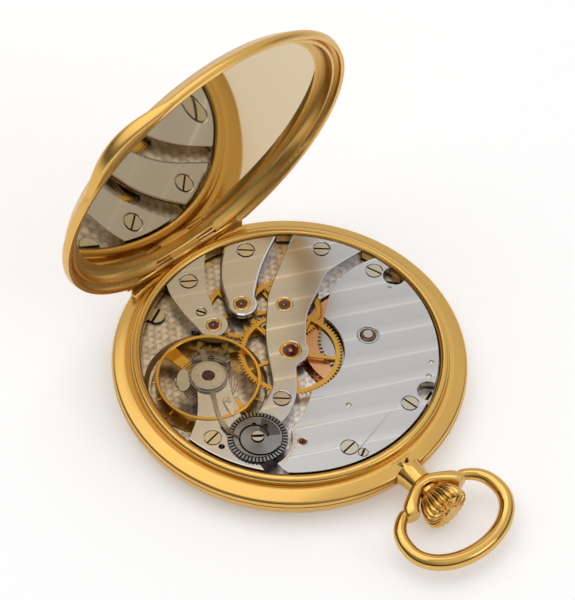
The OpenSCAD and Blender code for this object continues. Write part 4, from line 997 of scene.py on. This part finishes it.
def screw_heads():
    """The balance's timing screws: a rounded head at the outer end of every shank."""
    pivot = Vector(JOINTS["balance_swing"]["pos_m"])
    # Radius of the head, and distance back from its outer end, in mm.
    outline = [(0.06, 0), (0.15, 0.03), (0.19, 0.1), (0.19, 0.24), (0.12, 0.32)]
    sides = 16
    upright = Vector((0, 0, 1))
    source = welded("balance_screws")
    shanks = groups(
        source.verts, lambda vert: [near for edge in vert.link_edges for near in edge.verts]
    )
    heads = []
    for shank in shanks:
        middle = sum((vert.co for vert in shank), Vector()) / len(shank)
        out = Vector((middle.x - pivot.x, middle.y - pivot.y, 0)).normalized()
        aside = out.cross(upright)
        end = pivot + out * max((vert.co - pivot).dot(out) for vert in shank)
        end.z = middle.z
        rings = []
        for radius, back in outline:
            ring = []
            for k in range(sides):
                angle = math.tau * k / sides
                spoke = aside * math.cos(angle) + upright * math.sin(angle)
                ring.append(end - out * back * MM + spoke * radius * MM)
            rings.append(ring)
        heads.append(rings)
    source.free()
    return skinned(heads)


def scale_mesh(settings):
    """The regulator's scale: a fine arc with plain ticks, gilt on the bridge's top."""
    low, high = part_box("regulator_disc")
    centre = (low + high) / 2
    centre.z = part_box("barrel_bridge")[1].z
    first_heading, arc_step, arc_steps = -24, -2, 32
    tick_step, ticks, tick_length = -8, 9, 0.35 * MM
    half_width, sunk, proud = 0.045 * MM, 0.01 * MM, 0.012 * MM
    radius = settings.scale_radius

    def at(reach, heading):
        """The place on the bridge at a reach and a heading from the disc's middle."""
        angle = math.radians(heading)
        return centre + Vector((reach * math.cos(angle), reach * math.sin(angle), 0))

    strokes = []
    for i in range(arc_steps):
        heading = first_heading + arc_step * i
        strokes.append((at(radius, heading), at(radius, heading + arc_step)))
    for i in range(ticks):
        heading = first_heading + tick_step * i
        strokes.append((at(radius, heading), at(radius + tick_length, heading)))
    bars = []
    for stroke in strokes:
        aside = (stroke[1] - stroke[0]).normalized().cross(Vector((0, 0, half_width)))
        corners = []
        for share, lift in ((1, -sunk), (-1, -sunk), (-0.7, proud), (0.7, proud)):
            corners.append(aside * share + Vector((0, 0, lift)))
        bars.append([[end + corner for corner in corners] for end in stroke])
    return skinned(bars)


class CaseSettings(bpy.types.PropertyGroup):
    """Gold and sizes of the case, cover, crown and bow."""

    gold: bpy.props.FloatVectorProperty(
        name="Gold",
        description="Colour of the 18 carat yellow gold",
        subtype="COLOR",
        default=to_linear("#dbaf60")[:3],
    )
    mirror_gold: bpy.props.FloatVectorProperty(
        name="Mirror gold",
        description="Colour that the polished inside of the cover gives to what it reflects",
        subtype="COLOR",
        default=to_linear("#d4c09c")[:3],
    )
    mirror_radius: bpy.props.FloatProperty(
        name="Mirror radius",
        description="Radius of the mirror inside the cover",
        default=19.5 * MM,
        unit="LENGTH",
        precision=5,
    )
    mirror_height: bpy.props.FloatProperty(
        name="Mirror height",
        description="Height of the mirror's middle above the crystal, with the cover shut",
        default=7.585 * MM,
        unit="LENGTH",
        precision=5,
    )
    mirror_dish: bpy.props.FloatProperty(
        name="Mirror dish",
        description="How much lower the mirror's dome is at the rim than at its middle",
        default=0.45 * MM,
        unit="LENGTH",
        precision=5,
    )
    rim_radius: bpy.props.FloatProperty(
        name="Rim radius",
        description="Outer radius of the cover",
        default=22.46 * MM,
        unit="LENGTH",
        precision=5,
    )
    rim_edge: bpy.props.FloatProperty(
        name="Rim edge",
        description="Radius of the cover's rounded edge",
        default=0.75 * MM,
        unit="LENGTH",
        precision=5,
    )
    rim_height: bpy.props.FloatProperty(
        name="Rim height",
        description="Height of the rounded edge's middle above the crystal, with the cover shut",
        default=5.67 * MM,
        unit="LENGTH",
        precision=5,
    )
    lip_heading: bpy.props.FloatProperty(
        name="Lip heading",
        description="Where the thumb lip stands round the cover",
        default=math.radians(-132.5),
        unit="ROTATION",
    )
    lip_length: bpy.props.FloatProperty(
        name="Lip length",
        description="Length of the thumb lip along the rim",
        default=16 * MM,
        unit="LENGTH",
        precision=5,
    )
    lip_reach: bpy.props.FloatProperty(
        name="Lip reach",
        description="How far the thumb lip stands out",
        default=1.5 * MM,
        unit="LENGTH",
        precision=5,
    )
    lip_rise: bpy.props.FloatProperty(
        name="Lip rise",
        description="How far the thumb lip flares towards the cover's back",
        default=0.95 * MM,
        unit="LENGTH",
        precision=5,
    )
    cover_knuckle: bpy.props.FloatProperty(
        name="Cover knuckle",
        description="Half the length of the cover's knuckle",
        default=2.3 * MM,
        unit="LENGTH",
        precision=5,
    )
    knuckle: bpy.props.FloatProperty(
        name="Knuckle",
        description="Radius of the hinge's knuckles",
        default=0.43 * MM,
        unit="LENGTH",
        precision=5,
    )
    bow_reach: bpy.props.FloatProperty(
        name="Bow reach",
        description="From the bow's pivots to the middle of its far wire",
        default=9.1 * MM,
        unit="LENGTH",
        precision=5,
    )
    bow_half: bpy.props.FloatProperty(
        name="Bow half width",
        description="Half the bow's width, to the middle of its wire",
        default=7.55 * MM,
        unit="LENGTH",
        precision=5,
    )
    bow_wire: bpy.props.FloatProperty(
        name="Bow wire",
        description="Radius of the bow's wire at its far end",
        default=1.08 * MM,
        unit="LENGTH",
        precision=5,
    )
    bow_end: bpy.props.FloatProperty(
        name="Bow end",
        description="Radius of the bow's wire at the stirrup",
        default=0.6 * MM,
        unit="LENGTH",
        precision=5,
    )
    bow_gap: bpy.props.FloatProperty(
        name="Bow gap",
        description="Width between the bow's two ends",
        default=9.2 * MM,
        unit="LENGTH",
        precision=5,
    )
    bow_tilt: bpy.props.FloatProperty(
        name="Bow tilt",
        description="How far the bow hangs below level",
        default=math.radians(7),
        unit="ROTATION",
    )
    ribs: bpy.props.IntProperty(
        name="Ribs",
        description="Number of ribs round the crown",
        default=20,
        min=8,
    )
    polish: bpy.props.FloatProperty(
        name="Polish",
        description="Roughness of the buffed gold",
        default=0.13,
        subtype="FACTOR",
    )
    satin: bpy.props.FloatProperty(
        name="Satin",
        description="Roughness of the turned gold",
        default=0.24,
        subtype="FACTOR",
    )
    grain: bpy.props.FloatProperty(
        name="Grain",
        description="Spacing of the turned lines round the case, coarse enough to show",
        default=0.07 * MM,
        unit="LENGTH",
        precision=6,
    )


class MovementSettings(bpy.types.PropertyGroup):
    """Finishes and fine sizes of the movement."""

    stripe_heading: bpy.props.FloatProperty(
        name="Stripe heading",
        description="Direction of the bridges' stripes",
        default=math.radians(-25.6),
        unit="ROTATION",
    )
    stripe_pitch: bpy.props.FloatProperty(
        name="Stripe pitch",
        description="Width of one stripe",
        default=4.0 * MM,
        unit="LENGTH",
        precision=5,
    )
    stripe_shift: bpy.props.FloatProperty(
        name="Stripe shift",
        description="Where the first stripe begins, in stripes",
        default=0.0,
    )
    stripe_depth: bpy.props.FloatProperty(
        name="Stripe depth",
        description="Depth of a stripe's hollow",
        default=0.02 * MM,
        unit="LENGTH",
        precision=6,
    )
    grain: bpy.props.FloatProperty(
        name="Grain",
        description="Spacing of the fine lines along a stripe, coarse enough to show",
        default=0.1 * MM,
        unit="LENGTH",
        precision=6,
    )
    pearl_pitch: bpy.props.FloatProperty(
        name="Pearling pitch",
        description="Distance between the plate's round spots along a row",
        default=1.15 * MM,
        unit="LENGTH",
        precision=5,
    )
    pearl_row: bpy.props.FloatProperty(
        name="Pearling rows",
        description="Distance between the rows of spots",
        default=0.8 * MM,
        unit="LENGTH",
        precision=5,
    )
    pearl_radius: bpy.props.FloatProperty(
        name="Pearling radius",
        description="Radius of one spot",
        default=0.78 * MM,
        unit="LENGTH",
        precision=5,
    )
    pearl_depth: bpy.props.FloatProperty(
        name="Pearling depth",
        description="Depth of a spot's hollow, deeper than real so that it shows",
        default=0.02 * MM,
        unit="LENGTH",
        precision=6,
    )
    bevel_width: bpy.props.FloatProperty(
        name="Bevel width",
        description="Width of the polished bevel along a bridge's outline",
        default=0.28 * MM,
        unit="LENGTH",
        precision=6,
    )
    scale_radius: bpy.props.FloatProperty(
        name="Scale radius",
        description="Radius of the regulator's gilt scale, round its disc",
        default=4.7 * MM,
        unit="LENGTH",
        precision=5,
    )
    rim_width: bpy.props.FloatProperty(
        name="Rim width",
        description="Width of the balance's rim",
        default=0.46 * MM,
        unit="LENGTH",
        precision=6,
    )
    sink_width: bpy.props.FloatProperty(
        name="Sink width",
        description="Width of the polished sink round a screw or jewel",
        default=0.1 * MM,
        unit="LENGTH",
        precision=6,
    )
    seat_girth: bpy.props.FloatProperty(
        name="Seat girth",
        description="A rim shorter than this is a seat and not an outline",
        default=11.0 * MM,
        unit="LENGTH",
        precision=5,
    )
    gilt: bpy.props.FloatVectorProperty(
        name="Gilt",
        description="Colour of the gilt wheels",
        subtype="COLOR",
        default=to_linear("#cfa24c")[:3],
    )
    bronze: bpy.props.FloatVectorProperty(
        name="Bronze",
        description="Colour of the spring barrel",
        subtype="COLOR",
        default=to_linear("#deaa80")[:3],
    )
    steel: bpy.props.FloatVectorProperty(
        name="Steel",
        description="Colour of the polished steel",
        subtype="COLOR",
        default=to_linear("#bdb9b3")[:3],
    )


class StageSettings(bpy.types.PropertyGroup):
    """Camera, light and floor."""

    azimuth: bpy.props.FloatProperty(
        name="Azimuth",
        description="Camera's turn round the watch, from the crown side",
        default=math.radians(-43.356),
        unit="ROTATION",
    )
    elevation: bpy.props.FloatProperty(
        name="Elevation",
        description="Camera's height angle",
        default=math.radians(51.907),
        unit="ROTATION",
    )
    roll: bpy.props.FloatProperty(
        name="Roll",
        description="Camera's tilt about its own axis",
        default=math.radians(3.297),
        unit="ROTATION",
    )
    distance: bpy.props.FloatProperty(
        name="Distance",
        description="From the camera to what it looks at",
        default=383.327 * MM,
        unit="LENGTH",
    )
    aim: bpy.props.FloatVectorProperty(
        name="Aim",
        description="Point on the floor that the camera looks at",
        default=(8.2207 * MM, 9.7974 * MM, 0),
        subtype="TRANSLATION",
        precision=6,
    )
    focal_pixels: bpy.props.FloatProperty(
        name="Focal length",
        description="Camera's focal length in pixels of the photograph's frame",
        default=2883.68,
        subtype="PIXEL",
    )
    key_power: bpy.props.FloatProperty(
        name="Key light",
        description="Power of the large soft light above the watch",
        default=1.35,
        unit="POWER",
    )
    floor: bpy.props.FloatVectorProperty(
        name="Floor",
        description="Colour of the floor",
        subtype="COLOR",
        default=to_linear("#f4f4f4")[:3],
    )
    floor_lift: bpy.props.FloatProperty(
        name="Floor lift",
        description="How much the floor is lifted towards white where it shows",
        default=0.26,
        subtype="FACTOR",
    )


class WATCH_OT_case(bpy.types.Operator):
    """Finish the case ring, bezel, neck, hinge, crown and bow in gold, and the crystal in glass"""

    bl_idname = "pocket_watch.case"
    bl_label = "Case"

    def execute(self, context):
        settings = context.scene.watch_case
        gold = (*settings.gold, 1)
        satin = turned_gold("yellow_gold_satin_turned", gold, settings.satin, settings.grain)
        bright = polished_gold("yellow_gold_polished", gold, settings.polish, smudge=1.6 * MM)
        for name in ("case_middle", "bezel"):
            smooth_piece(name, satin, sharp=30)
        paint(["hinge_pin"], bright)
        add_piece("bow_wire", bow_mesh(settings), [bright], "bow", ["bow"])
        neck_body = body_of(NODES["pendant"])[0]
        add_piece("stirrup", stirrup_mesh(), [bright], neck_body, ["pendant"], sharp=50)
        add_piece("neck", neck_mesh(), [bright], neck_body)
        add_piece("neck_root", neck_root(), [bright], neck_body)
        case_body = body_of(NODES["case_middle"])[0]
        low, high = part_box("hinge_pin")
        seam = settings.cover_knuckle + 0.04 * MM
        for name, start, end in (("knuckle_left", low.x, -seam), ("knuckle_right", seam, high.x)):
            tube = hinge_tube(settings, start, end)
            add_piece(name, tube, [satin], case_body, sharp=50)
        crown = crown_mesh(settings)
        add_piece("crown_ribbed", crown, [bright], "stem", ["crown"], sharp=50)
        paint(["crystal"], crystal_glass())
        return {"FINISHED"}


class WATCH_OT_cover(bpy.types.Operator):
    """Finish the hinged back: satin rim and a mirror inside"""

    bl_idname = "pocket_watch.cover"
    bl_label = "Back cover"

    def execute(self, context):
        settings = context.scene.watch_case
        satin = cover_gold(settings, "yellow_gold_satin_cover", shine=0.0)
        mirror = cover_gold(settings, "yellow_gold_mirror", shine=1.0)
        cover = cover_mesh(settings)
        add_piece("cover_smooth", cover, [satin], "cover", ["back_cover"], sharp=30)
        tube = hinge_tube(settings, -settings.cover_knuckle, settings.cover_knuckle)
        add_piece("knuckle_middle", tube, [satin], "cover", sharp=50)
        add_piece("cover_mirror", mirror_mesh(settings), [mirror], "cover")
        add_piece("thumb_lip", lip_mesh(settings), [satin], "cover")
        return {"FINISHED"}


class WATCH_OT_plate(bpy.types.Operator):
    """Finish the main plate with pearling, and the pallet bridge plain"""

    bl_idname = "pocket_watch.plate"
    bl_label = "Main plate"

    def execute(self, context):
        paint(["main_plate"], pearled_rhodium(context.scene.watch_movement))
        paint(["pallet_bridge"], polished_metal("steel_plain", to_linear("#8b8781"), roughness=0.25))
        return {"FINISHED"}


class WATCH_OT_bridges(bpy.types.Operator):
    """Draw the striped bridges with polished bevels, and the regulator's scale"""

    bl_idname = "pocket_watch.bridges"
    bl_label = "Bridges"

    def execute(self, context):
        settings = context.scene.watch_movement
        stripes = striped_rhodium(settings, "rhodium_striped", bold=1.0)
        faint = striped_rhodium(settings, "rhodium_faintly_striped", bold=0.25)
        bevel = polished_metal("rhodium_polished_bevel", to_linear("#d6d4d4"), roughness=0.07)
        for finish, names in (
            (stripes, ("barrel_bridge", "center_bridge")),
            (faint, ("fourth_bridge", "escape_bridge", "balance_cock")),
        ):
            for name in names:
                bevelled_piece(
                    name,
                    [finish, bevel],
                    settings.bevel_width,
                    settings.sink_width,
                    settings.seat_girth,
                )
        printed = polished_metal("gilt_print", (*settings.gilt, 1), roughness=0.3)
        body = body_of(NODES["barrel_bridge"])[0]
        add_piece("regulator_scale", scale_mesh(settings), [printed], body)
        return {"FINISHED"}


class WATCH_OT_wheels(bpy.types.Operator):
    """Finish the barrel, the mainspring, the wheel train and the motion work"""

    bl_idname = "pocket_watch.wheels"
    bl_label = "Wheels"

    def execute(self, context):
        settings = context.scene.watch_movement
        gilt = (*settings.gilt, 1)
        bronze = (*settings.bronze, 1)
        for wheel, joint, metal, color, roughness, grain in (
            ("center_wheel", "center_turn", "gilt_brass", gilt, 0.28, 0.06 * MM),
            ("third_wheel", "third_turn", "gilt_brass", gilt, 0.28, 0.06 * MM),
            ("fourth_wheel", "seconds_turn", "gilt_brass", gilt, 0.28, 0.06 * MM),
            ("barrel", "barrel_turn", "beryllium_bronze", bronze, 0.22, 0.08 * MM),
        ):
            centre = JOINTS[joint]["pos_m"][:2]
            paint([wheel], turned_metal(f"{wheel}_{metal}", color, roughness, centre, grain))
        paint(["minute_wheel", "hour_wheel"], polished_metal("gilt_brass_plain", gilt, roughness=0.25))
        paint(["mainspring"], polished_metal("spring_steel", to_linear("#8d949c"), roughness=0.2))
        return {"FINISHED"}


class WATCH_OT_balance(bpy.types.Operator):
    """Finish the balance and hairspring, and draw the rim and screw heads"""

    bl_idname = "pocket_watch.balance"
    bl_label = "Balance"

    def execute(self, context):
        settings = context.scene.watch_movement
        gold = polished_metal("balance_gilt_polished", (*settings.gilt, 1), roughness=0.18)
        smooth_piece("balance_wheel", gold, sharp=35)
        body = body_of(NODES["balance_wheel"])[0]
        add_piece("balance_rim", balance_rim(settings), [gold], body)
        add_piece("timing_screw_heads", screw_heads(), [gold], body)
        paint(["balance_screws"], gold)
        paint(["hairspring"], polished_metal("hairspring_steel", to_linear("#8a8178"), roughness=0.25))
        return {"FINISHED"}


class WATCH_OT_steelwork(bpy.types.Operator):
    """Finish the regulator, screws, winding work and other steel"""

    bl_idname = "pocket_watch.steelwork"
    bl_label = "Steelwork"

    def execute(self, context):
        steel = (*context.scene.watch_movement.steel, 1)
        polished = polished_metal("steel_flat_polished", steel, roughness=0.12)
        bevel = polished_metal("steel_polished_bevel", to_linear("#a8a39b"), roughness=0.06)
        lapped = polished_metal("steel_lapped_dark", to_linear("#8f8a82"), roughness=0.08)
        for name, finish, width in (
            ("regulator_disc", fanned_steel(to_linear("#7f7e7c")), 0.05 * MM),
            ("regulator_index", lapped, 0.12 * MM),
            ("balance_cap", polished, 0.14 * MM),
            ("stud_carrier", polished, 0.16 * MM),
            ("cock_clip", polished, 0.12 * MM),
        ):
            bevelled_piece(name, [finish, bevel], width)
        # Painted shade and painted reflection: the sinks round the screw heads are near black, standing
        # in for the shadow gap and the dark surroundings that their polished bevels would show.
        rim = polished_metal("screw_rim_painted_shade", to_linear("#35302b"), roughness=0.12)
        slot_depth = 0.06 * MM
        for name, width in (
            ("bridge_screws", 0.2 * MM),
            ("small_screws", 0.12 * MM),
            ("case_screws", 0.2 * MM),
            ("regulator_screw", 0.14 * MM),
            ("steady_pins", 0.06 * MM),
        ):
            color = to_linear("#c4baa6")
            # Painted shade: each head turns dark more than the slot depth below its top, in its slot.
            head = polished_metal(name + "_head_steel_painted_slot_shade", color, 0.2, name, slot_depth)
            bevelled_piece(name, [head, rim], width)
        bevelled_piece("arbor_bush", [banded_bush(), bevel], 0.06 * MM)
        winding = ["barrel_arbor", "ratchet_wheel", "crown_wheel", "click", "click_spring"]
        keyless = ["winding_stem", "winding_pinion", "sliding_clutch", "setting_lever"]
        setting = ["clutch_yoke", "setting_wheel_outer", "setting_wheel_inner", "cannon_pinion"]
        escapement = ["escape_wheel", "pallet_fork", "roller"]
        paint(winding + keyless + setting + escapement, polished)
        return {"FINISHED"}


class WATCH_OT_jewels(bpy.types.Operator):
    """Finish the rubies and their gilt settings"""

    bl_idname = "pocket_watch.jewels"
    bl_label = "Jewels"

    def execute(self, context):
        gilt = (*context.scene.watch_movement.gilt, 1)
        paint(["jewels"], ruby())
        chaton = polished_metal("chaton_gilt_polished", gilt, roughness=0.12)
        rim = polished_metal("chaton_rim_gilt", to_linear("#f0d9a0"), roughness=0.06)
        bevelled_piece("chatons", [chaton, rim], 0.1 * MM)
        return {"FINISHED"}


class WATCH_OT_dial(bpy.types.Operator):
    """Finish the enamel dial and the blued hands underneath"""

    bl_idname = "pocket_watch.dial"
    bl_label = "Dial and hands"

    def execute(self, context):
        paint(["dial"], fired_enamel("enamel_white", to_linear("#f1ede2")))
        paint(["dial_markers"], fired_enamel("enamel_black", to_linear("#23211f")))
        blued = polished_metal("steel_blued", to_linear("#26355e"), roughness=0.15)
        paint(["hour_hand", "minute_hand", "seconds_hand"], blued)
        return {"FINISHED"}


def area_light(name, place, aim, size, power):
    """A square soft white light that faces a point."""
    data = bpy.data.lights.new(name, "AREA")
    data.energy = power
    data.size = size
    light = bpy.data.objects.new(name, data)
    light.location = place
    light.rotation_euler = (aim - place).to_track_quat("-Z", "Y").to_euler()
    bpy.context.scene.collection.objects.link(light)


def studio_world(scene):
    """A pale ceiling over a dim horizon, so that curved metal shows both light and dark, and a
    white paper sweep on the far side."""
    world = bpy.data.worlds.new("studio")
    world.use_nodes = True
    tree = world.node_tree
    tree.nodes.clear()
    direction = add_node(tree, "ShaderNodeTexCoord").outputs["Generated"]
    parts = add_node(tree, "ShaderNodeSeparateXYZ", inputs={0: direction})
    # The bands run from the horizon to straight up.
    bands = add_node(tree, "ShaderNodeValToRGB", inputs={"Fac": parts.outputs["Z"]})
    set_ramp(
        bands,
        [
            (0.0, grey(0.4)),
            (0.07, grey(0.2)),
            (0.3, grey(0.16)),
            (0.44, grey(0.55)),
            (0.56, grey(0.92)),
            (0.7, grey(0.85)),
            (0.8, grey(0.8)),
            (0.88, grey(1.0)),
            (0.96, grey(0.9)),
            (1.0, grey(0.6)),
        ],
    )
    dim_side, bright_side = 0.42, 0.97
    side = add_node(
        tree,
        "ShaderNodeMapRange",
        {"interpolation_type": "SMOOTHSTEP"},
        {
            "Value": parts.outputs["X"],
            "From Min": -0.7,
            "From Max": 0.25,
            "To Min": dim_side,
            "To Max": bright_side,
        },
    ).outputs[0]
    sweep_heading = (0.68, 0.73, -0.2)
    ahead = add_node(
        tree,
        "ShaderNodeVectorMath",
        {"operation": "DOT_PRODUCT"},
        {0: direction, 1: sweep_heading},
    ).outputs["Value"]
    sweep = add_node(
        tree,
        "ShaderNodeMapRange",
        {"interpolation_type": "SMOOTHSTEP"},
        {"Value": ahead, "From Min": 0.25, "From Max": 0.8},
    ).outputs[0]
    colors = add_node(
        tree,
        "ShaderNodeMix",
        {"data_type": "RGBA"},
        {"Factor": sweep, 6: bands.outputs[0], 7: grey(0.8)},
    ).outputs[2]
    room = add_node(tree, "ShaderNodeBackground", inputs={"Color": colors, "Strength": side})
    add_node(tree, "ShaderNodeOutputWorld", inputs={"Surface": room.outputs[0]})
    scene.world = world


def floor_paper(settings):
    """Matt white paper sweep. It keeps the soft shadow, and is lifted to white where it shows."""
    material, tree, place = start_material("paper_sweep_white")
    fibre_length = 2 * MM
    fibre = add_node(
        tree,
        "ShaderNodeTexNoise",
        inputs={"Vector": place, "Scale": 1 / fibre_length, "Detail": 3.0},
    ).outputs["Fac"]
    rough = add_node(
        tree, "ShaderNodeMapRange", inputs={"Value": fibre, "To Min": 0.7, "To Max": 1.0}
    )
    matt = add_node(
        tree,
        "ShaderNodeBsdfDiffuse",
        inputs={"Color": (*settings.floor, 1), "Roughness": rough.outputs[0]},
    )
    glow = add_node(
        tree, "ShaderNodeEmission", inputs={"Color": grey(1.0), "Strength": settings.floor_lift}
    )
    both = add_node(
        tree, "ShaderNodeAddShader", inputs={0: matt.outputs[0], 1: glow.outputs[0]}
    )
    ray = add_node(tree, "ShaderNodeLightPath")
    shows = ray.outputs["Is Camera Ray"]
    for other in ("Is Glossy Ray", "Is Transmission Ray"):
        shows = add_node(
            tree, "ShaderNodeMath", {"operation": "MAXIMUM"}, {0: shows, 1: ray.outputs[other]}
        ).outputs[0]
    shown = add_node(
        tree,
        "ShaderNodeMixShader",
        inputs={0: shows, 1: matt.outputs[0], 2: both.outputs[0]},
    )
    add_node(tree, "ShaderNodeOutputMaterial", inputs={"Surface": shown.outputs[0]})
    return material


def paper_floor(settings):
    """The floor: a wide round sheet of paper just under the watch."""
    floor_radius, clearance = 1.5, 0.02 * MM
    mesh = bmesh.new()
    bmesh.ops.create_circle(mesh, cap_ends=True, segments=96, radius=floor_radius)
    data = bpy.data.meshes.new("floor")
    mesh.to_mesh(data)
    mesh.free()
    data.materials.append(floor_paper(settings))
    floor = bpy.data.objects.new("floor", data)
    floor.location.z = -clearance
    bpy.context.scene.collection.objects.link(floor)


class WATCH_OT_stage(bpy.types.Operator):
    """Set up the floor, the soft light and the camera"""

    bl_idname = "pocket_watch.stage"
    bl_label = "Stage"

    def execute(self, context):
        scene = context.scene
        settings = scene.watch_stage
        scene.view_settings.view_transform = "Standard"
        studio_world(scene)
        paper_floor(settings)

        turn = Matrix.Rotation(settings.azimuth, 3, "Z")
        level = turn @ Vector((1, 0, 0))
        back = turn @ Vector((0, -math.cos(settings.elevation), math.sin(settings.elevation)))
        upright = back.cross(level)
        right = math.cos(settings.roll) * level + math.sin(settings.roll) * upright
        up = math.cos(settings.roll) * upright - math.sin(settings.roll) * level
        data = bpy.data.cameras.new("photo_camera")
        data.sensor_width = SENSOR
        data.lens = settings.focal_pixels * SENSOR / PHOTO_HEIGHT
        data.clip_start = 10 * MM
        camera = bpy.data.objects.new("photo_camera", data)
        matrix = Matrix((right, up, back)).transposed().to_4x4()
        matrix.translation = Vector(settings.aim) + back * settings.distance
        camera.matrix_world = matrix
        scene.collection.objects.link(camera)
        scene.camera = camera

        middle = Vector((0, 0, 5 * MM))
        behind = Vector((up.x, up.y, 0)).normalized()
        for name, aside, away, height, size, share in (
            ("key_softbox", -0.2, 0.06, 0.56, 0.7, 1),
            ("fill_softbox", 0.5, -0.2, 0.3, 0.24, 0.16),
        ):
            place = middle + level * aside + behind * away + Vector((0, 0, height))
            area_light(name, place, middle, size, settings.key_power * share)
        return {"FINISHED"}


class WATCH_PT_panel(bpy.types.Panel):
    """Pieces of the watch, in the sidebar"""

    bl_idname = "WATCH_PT_panel"
    bl_label = "Pocket Watch"
    bl_space_type = "VIEW_3D"
    bl_region_type = "UI"
    bl_category = "Pocket Watch"

    def draw(self, context):
        for operator in OPERATORS:
            self.layout.operator(operator.bl_idname)


OPERATORS = (
    WATCH_OT_case,
    WATCH_OT_cover,
    WATCH_OT_plate,
    WATCH_OT_bridges,
    WATCH_OT_wheels,
    WATCH_OT_balance,
    WATCH_OT_steelwork,
    WATCH_OT_jewels,
    WATCH_OT_dial,
    WATCH_OT_stage,
)
CLASSES = (CaseSettings, MovementSettings, StageSettings, *OPERATORS, WATCH_PT_panel)


def register():
    """Adds the classes, and the settings to the scene."""
    for cls in CLASSES:
        bpy.utils.register_class(cls)
    bpy.types.Scene.watch_case = bpy.props.PointerProperty(type=CaseSettings)
    bpy.types.Scene.watch_movement = bpy.props.PointerProperty(type=MovementSettings)
    bpy.types.Scene.watch_stage = bpy.props.PointerProperty(type=StageSettings)


def unregister():
    """Takes away what register added."""
    del bpy.types.Scene.watch_case
    del bpy.types.Scene.watch_movement
    del bpy.types.Scene.watch_stage
    for cls in reversed(CLASSES):
        bpy.utils.unregister_class(cls)


def main():
    """Builds every piece in order."""
    register()
    for operator in OPERATORS:
        group, name = operator.bl_idname.split(".")
        getattr(getattr(bpy.ops, group), name)()


if __name__ == "__main__":
    main()
